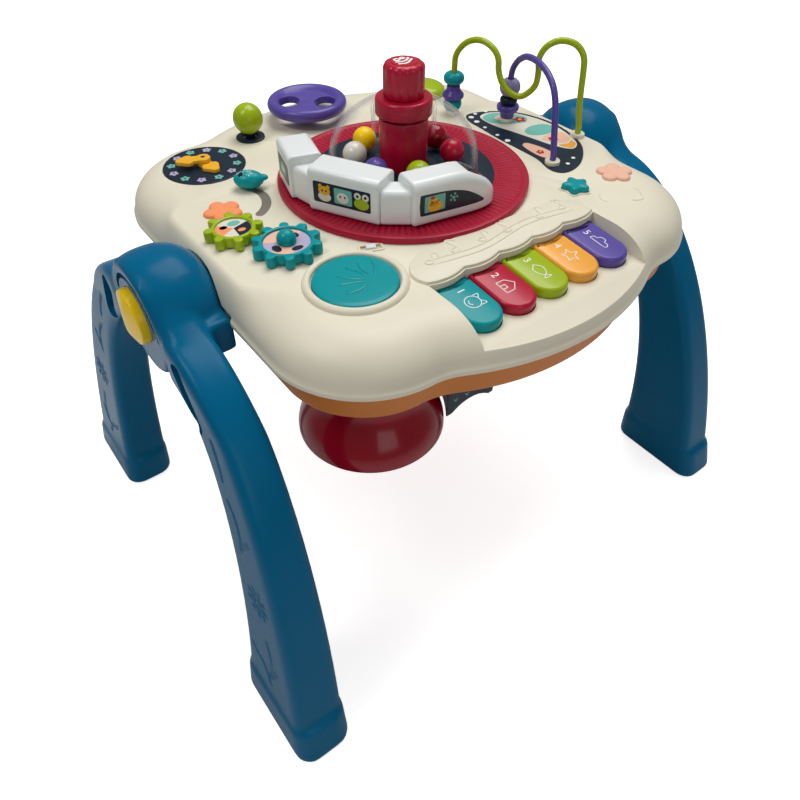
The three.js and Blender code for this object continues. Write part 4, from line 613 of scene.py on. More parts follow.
# %% [markdown]
# Other openings in the deck: the two hub recesses, the slider's curved slot, the clock's shallow seat, the slot of
# the power switch, and holes for the popper, the drum, the stick, the wheel and the buttons. They are plain tools,
# and one boolean with the pocket's tools cuts them all.

# %% Other openings
HUB_Z, HUB_R, HUB_INNER_X, HUB_FACE_X, HUB_PLAY = 259, 40, 157, 204, 0.8
HUB_DOME_IN, HUB_DOME_LONG = 20, 26
SADDLE_HALF_Y, SADDLE_LOW, SADDLE_HIGH, SADDLE_IN, SADDLE_PRESS = 45, 15, 9, 4, 1.5
TOOL_LONG, TOOL_FAR_X, TOOL_LOW_Z = 60, 240, 230
POPPER_HOLE_R, STICK_HOLE_R, SHAFT_HOLE_R, CAP_HOLE_R, DRUM_PLAY = 46.8, 5.6, 7.4, 19.4, 0.3
ARC_AT, ARC_R, ARC_WIDE, ARC_FROM, ARC_TO = (-118, 39), 26.3, 6.4, -62, 30
SWITCH_AT, SWITCH_TURN, SWITCH_SLOT = (-71.2, -61), math.radians(-22), (13, 5)
clock_at, _, _, clock_r = upright("clock_face")
drum_at, _, drum_top, drum_r = upright("drum_pad")


def box_part(low, high):
    """A rectangular block between two corners."""
    (x0, y0, z0), (x1, y1, z1) = low, high
    ring = np.array([(x0, y0), (x1, y0), (x1, y1), (x0, y1)], float)
    return skin(np.stack([np.column_stack([ring, np.full(4, z)]) for z in (z0, z1)]))


def arc_outline(radius, width, start, end, at):
    """A band along an arc with half-round ends."""
    start, end = math.radians(start), math.radians(end)
    a = np.linspace(start, end, 32)
    cap = np.linspace(0, math.pi, 12)[1:-1]
    spoke = lambda r, t: np.column_stack([r * np.cos(t), r * np.sin(t)])
    far = spoke(radius, [end]) + spoke(width / 2, end + cap)
    near = spoke(radius, [start]) + spoke(width / 2, start + math.pi + cap)
    return np.vstack([spoke(radius + width / 2, a), far, spoke(radius - width / 2, a[::-1]), near]) + np.array(at)


def hub_dome(radius, start):
    """A quarter ellipse from the hub's inner face out to its full radius, as radius and distance along X."""
    return [(radius - HUB_DOME_IN * (1 - math.sin(a)), start + HUB_DOME_LONG * (1 - math.cos(a)))
            for a in np.linspace(0, QUARTER, 20)]


def mirrored(part, side):
    """A part on the right side, or its mirror image on the left."""
    return part[0] * [side, 1, 1], part[1]


def hub_tool(side):
    """Room for a hub: its own domed profile with a little play, along X, and the saddle's block."""
    profile = [(0, 0), *hub_dome(HUB_R + HUB_PLAY, 0), (HUB_R + HUB_PLAY, TOOL_LONG), (0, TOOL_LONG)]
    barrel = mirrored(turned(lathe(profile, 96), QUARTER, "Y"), side)
    reach = sorted((side * (HUB_INNER_X + SADDLE_IN - HUB_PLAY), side * TOOL_FAR_X))
    half = SADDLE_HALF_Y - SADDLE_PRESS
    return [moved(barrel, (side * (HUB_INNER_X - HUB_PLAY), 0, HUB_Z)),
            box_part((reach[0], -half, TOOL_LOW_Z), (reach[1], half, HUB_Z + SADDLE_HIGH + HUB_PLAY))]


slot_band = arc_outline(ARC_R, ARC_WIDE, ARC_FROM, ARC_TO, ARC_AT)
[switch_block] = placed([box_part((-SWITCH_SLOT[0] / 2, -SWITCH_SLOT[1] / 2, DECK_Z - 4),
                                  (SWITCH_SLOT[0] / 2, SWITCH_SLOT[1] / 2, DECK_Z + 2))], SWITCH_TURN, SWITCH_AT)
STICK_AT, WHEEL_AT, CAP_AT = (-55.8, 121), (0, 127), (106, 112)
STAR_AT, STAR_R, STAR_WAVE, STAR_PLAY, STAR_RIM = (85, -84.5), 8.2, 1.5, 0.5, 1.4


def through_deck(ring):
    """An outline carried through the deck's top wall."""
    return stack(ring, [(0, DECK_Z - 12), (0, DECK_Z + 6)])


def round_hole(at, radius):
    """A cylinder through the deck's top wall."""
    return through_deck(circle(radius, 96, at))


holes = [round_hole((0, 0), POPPER_HOLE_R), round_hole(drum_at, drum_r + DRUM_PLAY),
         round_hole(STICK_AT, STICK_HOLE_R), round_hole(WHEEL_AT, SHAFT_HOLE_R), round_hole(CAP_AT, CAP_HOLE_R),
         through_deck(wavy(STAR_R + STAR_PLAY, STAR_WAVE, 5, 120, STAR_AT))]
deck_tools = pocket_tools + hub_tool(1) + hub_tool(-1) + holes + [
    stack(slot_band, [(0, DECK_Z - 4), (0, DECK_Z + 2)]), switch_block,
    lathe([(0, DECK_Z - 1.2), (clock_r + 0.4, DECK_Z - 1.2), (clock_r + 0.4, DECK_Z + 2), (0, DECK_Z + 2)], 96,
          (*clock_at, 0)),
]
pocket_block = in_pocket(stack(pocket_outline(WALL), [(0, -WALL), (0, POCKET_HIGH)]))
room = piece("deck_room", [deck_room()], cream, body=None, cutters=[pocket_block])
room_part = part_of(room.data, MM)
bpy.data.objects.remove(room)
top_shell = piece("deck", [deck_body()], cream, hides=["top_shell"], cutters=[room_part, *deck_tools],
                  bevel=0.5)
print("deck faces", len(top_shell.data.polygons))

# %% [markdown]
# The orange tray below stands inside the deck's skirt and tapers to a rounded floor. It is the same outline again.

# %% Lower tray
BASE_INSET, BASE_DRAFT, BASE_ROUND, BASE_DEPTH, BASE_RIM_UP = 6.2, 3, 5, 25, 6
base_z = lip_z - BASE_DEPTH


def tray_levels():
    """Inside from the floor up to the rim, then outside down to the rounded bottom edge."""
    deep = BASE_INSET + BASE_DRAFT
    inside = [(deep + WALL + BASE_ROUND, base_z + WALL), (deep + WALL, base_z + WALL + BASE_ROUND),
              (BASE_INSET + WALL, lip_z + BASE_RIM_UP)]
    rounding = [(deep + BASE_ROUND * (1 - math.cos(a)), base_z + BASE_ROUND * (1 - math.sin(a)))
                for a in np.linspace(0, QUARTER, 8)]
    return inside + [(BASE_INSET, lip_z + BASE_RIM_UP), *rounding]


piece("lower_tray", [stack(outline, tray_levels())], orange, hides=["bottom_shell"],
      cutters=hub_tool(1) + hub_tool(-1))

# %% [markdown]
# Each blue arch is a pair of splayed legs with boots and a big round hub. A leg is a rounded rectangle carried from
# the hub to the foot between an inner and an outer curve. The moulded drawing is pressed into the finished skin, and
# the slot beside the hub is cut.

# %% Leg curves
FOOT_OUT_Y, FOOT_IN_Y, FOOT_IN_X, FOOT_OUT_X, FOOT_HEIGHT = 199.1, 110.8, 191.7, 233.8, 30
FOOT_CORNER, FOOT_STEP, FOOT_LEAN = 13, 1.8, 8
LEG_TOP_OUT_X, LEG_TOP_IN_X, LEG_KNEE_Z, LEG_ROUND = 204.8, 176, 226, 8
LEG_OUTER_SHARES = np.array([[0.2, 1.04], [0.613, 1.01], [0.844, 0.52], [0.945, 0.085]])
LEG_INNER_SHARES = np.array([[0.18, 0.896], [0.462, 0.857], [0.583, 0.463], [0.575, 0.085]])
SLOT_MIDDLE, SLOT_LONG, SLOT_WIDE, SLOT_DEEP = (62, 239), 46, 15, 9
SLOT_TURN = math.radians(-63)
LINE_DEEP, LINE_HALF, LINES_FROM_Z, LINES_TO_Z, FACE_DEEP = 1.0, 1.1, 34, 228, 1.2


def between_faces(z, foot_x, top_x):
    """X of a leg's face: it leans from the foot to the knee and stands upright above it."""
    share = np.clip(z / LEG_KNEE_Z, 0, 1)
    return foot_x + (top_x - foot_x) * share


def distance_to(points, line):
    """Shortest distance from points to a line of short pieces."""
    a, b = line[:-1], line[1:]
    run = b - a
    t = np.clip(((points[:, None] - a) * run).sum(-1) / (run ** 2).sum(-1), 0, 1)
    return np.linalg.norm(points[:, None] - (a + t[..., None] * run), axis=-1).min(1)


def leg_lines():
    """The moulded drawing of a leg, in its own plane of y and z: a stem with leaves, a small sun and a few waves."""
    lines = [
        [(88, 226), (95, 214), (99, 203)], [(104, 190), (112, 182), (117, 170), (118, 158)],
        [(127, 172), (122, 166), (117, 158)], [(146, 92), (151, 78), (152, 66), (149, 54)],
        [(158, 70), (154, 60), (149, 54)], [(126, 66), (133, 60), (141, 58), (150, 44)],
    ]
    sun = np.array((136, 124))
    lines.append((sun + circle(4.5, 16)).tolist() + [tuple(sun + (4.5, 0))])
    for a in np.linspace(0, TURN, 9, endpoint=False):
        spoke = np.array((math.cos(a), math.sin(a)))
        lines.append([tuple(sun + 7.5 * spoke), tuple(sun + 11.5 * spoke)])
    return [smooth_line(line, 12) for line in lines]


def press_lines(points):
    """Shifts the outer face's points inwards along the drawn lines, in a groove with sloping sides."""
    points = points.copy()
    x, y, z = points.T
    outer_face = between_faces(z, FOOT_OUT_X - FOOT_STEP, LEG_TOP_OUT_X)
    face = np.flatnonzero((abs(x) > outer_face - FACE_DEEP) & (z > LINES_FROM_Z) & (z < LINES_TO_Z))
    flat = np.column_stack([abs(y[face]), z[face]])
    depth = np.zeros(len(face))
    for line in leg_lines():
        depth = np.maximum(depth, LINE_DEEP * np.clip(1.7 - distance_to(flat, line) / LINE_HALF, 0, 1))
    points[face, 0] -= np.sign(x[face]) * depth
    return points


def slot_tool(side):
    """The stadium-shaped slot beside the hub, as a block that reaches into the outer face."""
    along = np.array((math.cos(SLOT_TURN), math.sin(SLOT_TURN)))
    across = np.array((-along[1], along[0]))
    a = np.linspace(0, math.pi, 16) - QUARTER
    end = np.column_stack([np.cos(a), np.sin(a)]) * SLOT_WIDE / 2
    ring = np.vstack([end + [(SLOT_LONG - SLOT_WIDE) / 2, 0], -end - [(SLOT_LONG - SLOT_WIDE) / 2, 0]])
    yz = np.array(SLOT_MIDDLE) + ring[:, :1] * along + ring[:, 1:] * across
    rings = [np.column_stack([np.full(len(yz), x), yz[:, 0] * side, yz[:, 1]])
             for x in (LEG_TOP_OUT_X - SLOT_DEEP, LEG_TOP_OUT_X + 12)]
    return skin(np.stack(rings))


def leg(side, rows=160, across=30):
    """Rounded rectangles from the hub down to the foot; side mirrors the leg in y."""
    t = np.linspace(0, 1, rows)
    outer, inner = cubic(LEG_OUTER_SHARES, t) * [FOOT_OUT_Y, HUB_Z], cubic(LEG_INNER_SHARES, t) * [FOOT_OUT_Y, HUB_Z]
    corner = np.linspace(0, QUARTER, 9)
    u_side = np.concatenate([np.linspace(0, 1, across)[1:-1], np.full(9, 1.0), np.full(6, 1.0), np.full(9, 1.0),
                             np.linspace(1, 0, 14)[1:-1], np.zeros(9), np.zeros(6), np.zeros(9)])
    v_side = np.concatenate([np.full(across - 2, 1.0), np.full(9, 1.0), np.linspace(1, 0, 8)[1:-1], np.zeros(9),
                             np.zeros(12), np.zeros(9), np.linspace(0, 1, 8)[1:-1], np.full(9, 1.0)])
    arc_u = np.concatenate([np.zeros(across - 2), np.sin(corner), np.full(6, 1.0), np.cos(corner), np.zeros(12),
                            -np.sin(corner), np.full(6, -1.0), -np.cos(corner)])
    arc_v = np.concatenate([np.full(across - 2, 1.0), np.cos(corner), np.zeros(6), -np.sin(corner),
                            np.full(12, -1.0), -np.cos(corner), np.zeros(6), np.sin(corner)])
    width = np.linalg.norm(outer - inner, axis=1)[:, None]
    deep = FOOT_OUT_X - FOOT_IN_X
    u = (LEG_ROUND + (width - 2 * LEG_ROUND) * u_side + LEG_ROUND * arc_u) / width
    v = (LEG_ROUND + (deep - 2 * LEG_ROUND) * v_side + LEG_ROUND * arc_v) / deep
    yz = inner[:, None] + (outer - inner)[:, None] * u[..., None]
    low_x = between_faces(yz[..., 1], FOOT_IN_X + FOOT_STEP, LEG_TOP_IN_X)
    high_x = between_faces(yz[..., 1], FOOT_OUT_X - FOOT_STEP, LEG_TOP_OUT_X)
    x = low_x + (high_x - low_x) * v
    return skin(np.stack([x, yz[..., 0] * side, yz[..., 1]], -1))


# %% [markdown]
# The boot is a rounded block that leans with the leg. The hub is turned on a lathe about X: a domed shoulder towards
# the deck and a flat face with a fine raised rim. A wedge leads from the hub to each leg. The real arch is one soft
# moulding, so all parts flow into one body: voxels join them and smoothing takes the corners off.

# %% Boot, hub and saddle


def rounded_rectangle(low_x, high_x, low_y, high_y, corner, steps=10):
    """Four quarter circles joined by straight sides."""
    a = np.linspace(0, QUARTER, steps)
    arcs = [(high_x - corner, high_y - corner, 0), (low_x + corner, high_y - corner, 1),
            (low_x + corner, low_y + corner, 2), (high_x - corner, low_y + corner, 3)]
    return np.vstack([np.column_stack([x + corner * np.cos(a + k * QUARTER), y + corner * np.sin(a + k * QUARTER)])
                      for x, y, k in arcs])


def boot(side):
    """Levels of the boot: rounded sole, upright wall that leans in, and a soft step up to the leg."""
    lean = (FOOT_OUT_X - FOOT_STEP - LEG_TOP_OUT_X) * (FOOT_HEIGHT / LEG_KNEE_Z)
    levels = foot_round(FOOT_STEP, 5)
    levels += [(0, z) for z in np.linspace(FOOT_STEP, FOOT_HEIGHT - 2 * FOOT_STEP, 6)[1:]]
    levels += [(FOOT_STEP * (1 - math.cos(a)), FOOT_HEIGHT - 2 * FOOT_STEP + 2 * FOOT_STEP * math.sin(a))
               for a in np.linspace(0, QUARTER, 6)[1:]]
    rings = []
    for inset, z in levels:
        up = z / FOOT_HEIGHT
        ring = rounded_rectangle(FOOT_IN_X + inset - lean * up / 2, FOOT_OUT_X - inset - lean * up,
                                 FOOT_IN_Y + inset, FOOT_OUT_Y - inset - FOOT_LEAN * up, FOOT_CORNER)
        rings.append(np.column_stack([ring[:, 0], ring[:, 1] * side, np.full(len(ring), z)]))
    return skin(np.stack(rings))


def hub_profile():
    """Shoulder, barrel and face of the hub as radius and distance along X."""
    swell = HUB_INNER_X + HUB_DOME_LONG
    shoulder = hub_dome(HUB_R, HUB_INNER_X)
    edge = [(HUB_R - 6 * (1 - math.cos(a)), swell + 3 + (HUB_FACE_X - swell - 3) * math.sin(a))
            for a in np.linspace(0, QUARTER, 16)]
    rim = HUB_R - 6
    face = [(rim - 0.8, HUB_FACE_X), (rim - 1.2, HUB_FACE_X - 0.7), (0, HUB_FACE_X - 0.7)]
    return [(0, HUB_INNER_X), *shoulder, *edge, *face]


def along_x(ring, low, high, round_by, steps):
    """An outline in y and z carried along X, smaller by a quarter circle at both ends."""
    foot = foot_round(round_by, steps)
    stations = [(inset, low + up) for inset, up in foot] + [(inset, high - up) for inset, up in foot[::-1]]
    return skin(np.stack([np.column_stack([np.full(len(ring), x), inward(ring, inset)]) for inset, x in stations]))


def soft_box(low, high, round_by):
    """A block with rounded upright edges and rounded rims."""
    ring = rounded_rectangle(low[0], high[0], low[1], high[1], round_by, 6)
    bottom = [(inset, low[2] + up) for inset, up in foot_round(round_by, 5)]
    return stack(ring, [(i * 0.98, z) for i, z in bottom + rim_round(round_by, high[2], 5)])


ARC_GROOVE = arc_outline(28, 3.4, 20, 162, (0, 0))


def hub_tools():
    """What is taken out of the hub's face: the arc groove, two screw holes and the seat of the lock knob."""
    groove = stack(ARC_GROOVE, [(0, -2.5), (0, 2)])
    screws = [moved(lathe([(0, -3), (2, -3), (2, 2), (0, 2)], 24), (x, y, 0)) for x, y in ((-30, 1), (31, -10))]
    seat = moved(lathe([(0, -3.7), (18.4, -3.7), (18.4, 2), (0, 2)], 64), (0, 3, 0))
    parts = []
    for points, faces in [groove, *screws, seat]:
        x, y, z = points.T
        parts.append((np.stack([HUB_FACE_X - 0.7 + z, x, HUB_Z + y], 1), faces))
    return parts


RAMP_ROUND = 9


def ramp(side):
    """A rounded wedge that lets the leg flow out of the hub: an outline in y and z carried along x."""
    a = np.radians(np.linspace(70, 47, 6))
    top = np.column_stack([(HUB_R - 1.5) * np.cos(a), HUB_Z + (HUB_R - 1.5) * np.sin(a)])
    fall = [(33, 280.5), (40, 274), (48, 269.5), (58, 265), (72, 257), (70, 236), (40, 236), (8, 262)]
    ring = np.vstack([top, fall])[::-1]
    points, faces = along_x(ring, LEG_TOP_IN_X, LEG_TOP_OUT_X - 1.5, RAMP_ROUND, 6)
    return points * [1, side, 1], faces


hub_points, hub_faces = lathe(hub_profile(), 128)
hub = (hub_points[:, ::-1] + [0, 0, HUB_Z], hub_faces)
saddle = soft_box((HUB_INNER_X + SADDLE_IN, -SADDLE_HALF_Y, HUB_Z - SADDLE_LOW),
                  (LEG_TOP_IN_X + 3, SADDLE_HALF_Y, HUB_Z + SADDLE_HIGH), 1.6)
parts = [hub, leg(1), leg(-1), ramp(1), ramp(-1), boot(1), boot(-1), saddle]
tools = [*hub_tools(), slot_tool(1), slot_tool(-1)]
for arch_name, side in (("left_arch", -1), ("right_arch", 1)):
    piece(f"{arch_name}_shell", [mirrored(part, side) for part in parts], blue, hides=[arch_name],
          melt=(1.25, 24), press=press_lines, cutters=[mirrored(part, side) for part in tools], sharp=50)

# %% [markdown]
# The lock knob is a yellow disc with one low ridge across it for the fingers. Its face is a height over rings of
# points, so the ridge fades into the rim without a seam.

# %% Lock knobs
LOCK_R, LOCK_UP, LOCK_THICK, LOCK_RIDGE, LOCK_SUNK = 18, 3, 8, 3.4, 3


def lock_knob():
    """A disc whose face is a roof: z falls from the ridge line to the rim by the share of the way across."""
    r = LOCK_R * np.concatenate([np.linspace(0.02, 0.93, 22), [0.97, 0.99, 1.0]])[:, None]
    a = np.linspace(0, TURN, 96, endpoint=False)
    x, y = r * np.cos(a), r * np.sin(a)
    chord = np.sqrt(np.clip(LOCK_R ** 2 - y ** 2, 1, None))
    ridge = LOCK_RIDGE * (1 - (abs(y) / LOCK_R) ** 4)
    z = LOCK_THICK - 0.5 + ridge * (1 - np.sqrt((x / chord) ** 2 * 0.98 + 0.02)) / (1 - math.sqrt(0.02))
    z[-2:] -= np.array([[0.3], [0.9]])
    top = np.stack([x, y, z], -1)[::-1]
    under = np.stack([x[-1], y[-1], 0 * a + 0.3], -1)[None]
    return [skin(np.concatenate([under, top])), lathe([(0, -18), (5, -18), (5, 1), (0, 1)], 32)]


for side, body in ((-1, "left_lock"), (1, "right_lock")):
    parts = []
    for points, faces in lock_knob():
        x, y, z = points.T
        tilt = math.radians(-14 * side)
        along, up = x * math.cos(tilt) - y * math.sin(tilt), x * math.sin(tilt) + y * math.cos(tilt)
        parts.append((np.stack([side * (HUB_FACE_X - LOCK_SUNK + z), along, HUB_Z + LOCK_UP + up], 1), faces))
    piece(f"{body}_disc", parts, yellow, body=body, hides=[f"{body}_knob"], sharp=35)

# %% [markdown]
# The bell under the drum is one turned shell with a flared rim. The drum pad above it is a teal disc in a raised
# cream ring, with a few leaf veins moulded into its top.

# %% Bell and drum
bell_at, bell_rim_z, bell_top_z, _ = upright("drum_bell")
BELL_R, BELL_WAIST_R, BELL_WAIST_Z = 49.7, 35, 216


def bell_flare(inset):
    """The flare as radius and height: the radius grows with the square of a sine from the waist to the rim."""
    a = np.linspace(0, QUARTER, 24)
    radius = BELL_WAIST_R + (BELL_R - BELL_WAIST_R) * np.sin(a) ** 2 - inset
    height = bell_rim_z + WALL + (BELL_WAIST_Z - bell_rim_z - WALL) * (1 - a / QUARTER)
    return np.column_stack([radius, height]).tolist()


bell_profile = [(0, bell_top_z), (BELL_WAIST_R + WALL, bell_top_z), (BELL_WAIST_R + WALL, bell_top_z - WALL),
                (BELL_WAIST_R, bell_top_z - 2 * WALL), *bell_flare(0), (BELL_R, bell_rim_z + 0.8),
                (BELL_R - WALL / 2, bell_rim_z), (BELL_R - WALL, bell_rim_z + 0.8), *bell_flare(WALL)[::-1],
                (BELL_WAIST_R - WALL, bell_top_z - WALL), (0, bell_top_z - WALL)]
piece("bell", [lathe(bell_profile, 128, (*bell_at, 0))], bell_red, hides=["drum_bell"])

pad = lathe(soften([(0, DECK_Z - 7), (drum_r, DECK_Z - 7), (drum_r, drum_top - 0.6), (drum_r - 3, drum_top - 0.2),
                    (0, drum_top)], 1.2), 128, (*drum_at, 0))
piece("pad", [pad], teal, body="drum", hides=["drum_pad"])
ring_profile = soften([(26.4, DECK_Z - 1), (26.4, DECK_Z + 2.2), (28.4, DECK_Z + 3.2), (30.8, DECK_Z + 2.0),
                       (31.6, DECK_Z - 0.3), (31.6, DECK_Z - 1)], 1.3)
piece("pad_ring", [ring_lathe(ring_profile, 128, (*drum_at, 0))], cream)


def raised_strokes(lines, z, half, high):
    """Low rounded ridges along lines that lie on a level surface."""
    parts = []
    for line in lines:
        path = smooth_line(line, 24)
        taper = np.sqrt(np.clip(1 - np.linspace(-1, 1, 24) ** 6, 0.05, 1))
        parts.append(tube(np.column_stack([path, np.full(24, z)]), half * taper, 10, flat=high / half))
    return parts


vein_lines = []
for k, degrees in enumerate((62, 86, 110, 134, 158, 182)):
    out, side = np.array((math.cos(math.radians(degrees)), math.sin(math.radians(degrees)))), 1 if k % 2 else -1
    across, root = np.array((-out[1], out[0])), np.array((-90, -93))
    vein_lines.append([root + 6 * out, root + 14 * out + 1.2 * side * across, root + (24 - abs(k - 3)) * out])
drum_shift = drum_at - (-99, -85)
vein_lines = [np.array(line) + drum_shift for line in vein_lines]
piece("pad_veins", raised_strokes(vein_lines, drum_top - 0.3, 1.1, 0.75), teal, body="drum")
print("bell and drum done")

# %% [markdown]
# Five glossy keys: each is its outline with a wide rounding. White numbers and small line pictures
# are printed near the back. The numbers are text turned into a mesh, and the pictures are generic outlines.

# %% Keys
KEY_FINISH = [(teal, "teal"), (crimson, "crimson"), (lime, "lime"), (amber, "salmon"), (purple, "purple")]
DIGIT_SIZE, DIGIT_Y, PICTURE_Y, PICTURE_SHARE = 7.5, -10.5, -21.5, 1.25


def key_part():
    """A key in the pocket's frame, rounded above and below."""
    levels = [(inset, -KEY_DOWN + up) for inset, up in foot_round(KEY_ROUND, 7)]
    return stack(key_outline(), levels + rim_round(KEY_ROUND, KEY_UP, 7))


for i, x in enumerate(key_middles):
    finish, slot = KEY_FINISH[i]
    piece(f"key_{i + 1}", [in_pocket(moved(key_part(), (x, 0, 0)))], finish, body=f"piano_key_{i + 1}",
          hides=[f"piano_key_{i + 1}"])


def number_part(text, size, depth):
    """Built-in letter shapes as a thin slab in the XY plane, centred, as points and faces in millimetres."""
    curve = bpy.data.curves.new("number", "FONT")
    curve.body, curve.size, curve.extrude, curve.align_x, curve.align_y = text, size, depth, "CENTER", "CENTER"
    thing = bpy.data.objects.new("number", curve)
    bpy.context.collection.objects.link(thing)
    mesh = bpy.data.meshes.new_from_object(thing.evaluated_get(bpy.context.evaluated_depsgraph_get()))
    part = part_of(mesh)
    bpy.data.objects.remove(thing)
    bpy.data.meshes.remove(mesh)
    return part


# Line pictures about 9 mm across: a cat's head, a house, a fish, a star and a cloud.
HEAD_RING = circle(4, 24)
KEY_PICTURES = [
    [np.vstack([HEAD_RING, HEAD_RING[:1]]), [(-3.6, 2.6), (-3.4, 5.6), (-0.8, 4)], [(0.8, 4), (3.4, 5.6), (3.6, 2.6)],
     [(-1.6, -1.2), (0, -2.2), (1.6, -1.2)]],
    [[(-4, -3.6), (4, -3.6), (4, 1.2), (0, 4.8), (-4, 1.2), (-4, -3.6)],
     [(-1.2, -3.6), (-1.2, -0.6), (1.2, -0.6), (1.2, -3.6)]],
    [[(-4.6, 0), (-1.6, 2.8), (2, 2.2), (4.2, 0), (2, -2.2), (-1.6, -2.8), (-4.6, 0)],
     [(4.2, 0), (6, 2.2), (6, -2.2), (4.2, 0)]],
    [[(0, 5), (1.4, 1.7), (4.8, 1.5), (2.2, -0.7), (3, -4), (0, -2.1), (-3, -4), (-2.2, -0.7), (-4.8, 1.5),
      (-1.4, 1.7), (0, 5)]],
    [[(-5, -1.6), (-4.6, 0.8), (-2.6, 1.2), (-1.6, 3.2), (1.2, 3.4), (2.2, 1.4), (4.4, 1.2), (5, -1.6), (-5, -1.6)]],
]
ANGULAR_PICTURES = (1, 3)


def printed(lines, half, high=0.12, count=40, sharp_corners=False):
    """Thin printed strokes on a level plane at height zero."""
    parts = []
    for line in lines:
        path = even(np.array(line, float), count) if sharp_corners else smooth_line(line, count)
        parts.append(tube(np.column_stack([path, np.zeros(len(path))]), half, 8, flat=high / half))
    return parts


for i, x in enumerate(key_middles):
    digit = turned(number_part(str(i + 1), DIGIT_SIZE, 0.06), -QUARTER)
    picture = printed([np.array(line) * PICTURE_SHARE for line in KEY_PICTURES[i]], 0.28,
                      sharp_corners=i in ANGULAR_PICTURES)
    parts = [moved(digit, (x, DIGIT_Y, KEY_UP + 0.05))]
    parts += [moved(turned(part, -QUARTER), (x, PICTURE_Y, KEY_UP + 0.02)) for part in picture]
    piece(f"key_{i + 1}_print", [in_pocket(part) for part in parts], white_print, body=f"piano_key_{i + 1}")

# %% [markdown]
# Behind the keys the deck rises to a low ledge with moulded notes. Its near edge follows the pocket's scallops.

# %% Ledge and its notes
LEDGE_HIGH = 2.0


def ledge_outline():
    """Scalloped near edge from left to right at the pocket's wall, then the soft far edge back."""
    near = scallops() + (POCKET_X, POCKET_BACK_Y + 0.1)
    far = smooth_line([(-67.5, -111.9), (-70.3, -105), (-69.4, -98), (-64, -90.5), (-55, -85.6), (-43, -84),
                       (-13, -84.4), (27, -86.4), (52, -88.2), (63, -91), (69.6, -97), (71.5, -104),
                       (71.5, -111.9)], 90)
    return np.vstack([near[::-1], far[::-1][1:-1]])


ledge_levels = [(0, DECK_Z - 2), (0, DECK_Z + LEDGE_HIGH - 1.1), (0.35, DECK_Z + LEDGE_HIGH - 0.35),
                (1.1, DECK_Z + LEDGE_HIGH)]
piece("ledge", [stack(ledge_outline(), ledge_levels)], cream)


def note(at, size, turn):
    """A note: oval head, stem and flag."""
    lines = [np.vstack([circle(1.0, 12) * (0.8, 0.6), [(0.8, 0)]]), [(0.8, 0), (0.8, 2.2), (0.8, 3.2)],
             [(0.8, 3.2), (1.8, 2.6), (2.0, 1.6)]]
    c, s = math.cos(turn), math.sin(turn)
    return [np.array(line) * size @ np.array([[c, s], [-s, c]]) + at for line in lines]


note_places = [(-54, -97, 3.2, -0.5), (-33, -96, 3.6, 0.2), (-12, -97, 3.2, -0.3), (8, -98, 3.6, 0.3),
               (36, -98, 3.4, -0.2), (56, -99, 3.2, 0.2)]
note_lines = [line for x, y, size, turn in note_places for line in note((x, y), size, turn)]
wave = np.linspace(-1, 1, 60)
note_lines += [np.column_stack([3 + 60 * wave, -100.5 + shift + 2.6 * np.sin(4.5 * wave)]) for shift in (-2.5, 2.5)]
piece("ledge_notes", raised_strokes(note_lines, DECK_Z + LEDGE_HIGH - 0.15, 0.7, 0.75), cream)
swirls = [[(94.2, -98.8), (90.5, -102), (88.6, -106), (89, -110)],
          [(117.9, -107.8), (118.2, -112), (115.6, -117), (112.4, -120.9)], [(104, -118), (108, -121), (113, -121.5)]]
piece("deck_swirls", raised_strokes(swirls, DECK_Z - 0.1, 0.7, 0.7), cream)

# %% [markdown]
# The turntable is a crimson ring with a raised rim and fine radial ribs. The ribs are a wave of the height around the
# ring, so one grid holds them.

# %% Turntable
_, track_low, track_top, TRACK_R = upright("turntable")
TRACK_BORE, TRACK_RIM, RIBS_FROM, RIBS, RIB_DEEP = 46.5, 4.5, 67, 120, 0.55


def ribbed_ring():
    """Closed profile round Z whose middle stretch drops between ribs: z falls by a share of a clipped cosine."""
    profile = np.array([(TRACK_BORE, track_low), (TRACK_R, track_low), (TRACK_R, track_top - 1.2),
                        (TRACK_R - 0.5, track_top - 0.3), (TRACK_R - 1.5, track_top), (TRACK_R - 3.6, track_top),
                        (TRACK_R - TRACK_RIM, track_top - 0.5), (TRACK_R - TRACK_RIM - 0.4, track_top - 0.5),
                        (TRACK_R - TRACK_RIM - 1.2, track_top - 0.5), (RIBS_FROM, track_top - 0.5),
                        (RIBS_FROM - 0.8, track_top - 0.5), (RIBS_FROM - 1.4, track_top - 0.5),
                        (RIBS_FROM - 2.2, track_top), (TRACK_BORE, track_top)])
    groove = np.array([0, 0, 0, 0, 0, 0, 0, 0, 1, 1, 0, 0, 0, 0])
    a = np.linspace(0, TURN, RIBS * 8, endpoint=False)
    drop = np.clip(np.cos(RIBS * a) * 2 - 0.4, 0, 1) * RIB_DEEP
    r, z = profile[:, :1], profile[:, 1:]
    return skin(np.stack([r * np.cos(a), r * np.sin(a), z - groove[:, None] * drop], -1), wrap_rows=True)


piece("turntable_ring", [ribbed_ring()], track_red, body="track", hides=["turntable"], sharp=30)

# %% [markdown]
# The train is three white cars with two narrower links between them. A car is a rounded box whose upper edges are
# softer than its lower ones; the engine's roof falls in a long curve and its plan narrows to a round nose. All five
# are cut back where the clear dome and the dark plate under it need room.

# %% Train bodies
CAR_WIDE, CAR_ROUND = 23, 2.0
COACH_AT, ENGINE_AT, REAR_AT = (-58.5, -22.4, -62), (-7.6, -59, -10), (-67.6, 24.6, -106)
FRONT_LINK_AT, REAR_LINK_AT = (-43.1, -49.1, -38), (-71.3, 5.6, -82)
COACH_LONG, ENGINE_LONG, REAR_LONG, LINK_LONG = 50, 64, 32, 16
_, car_low, car_top, _ = upright("coach")


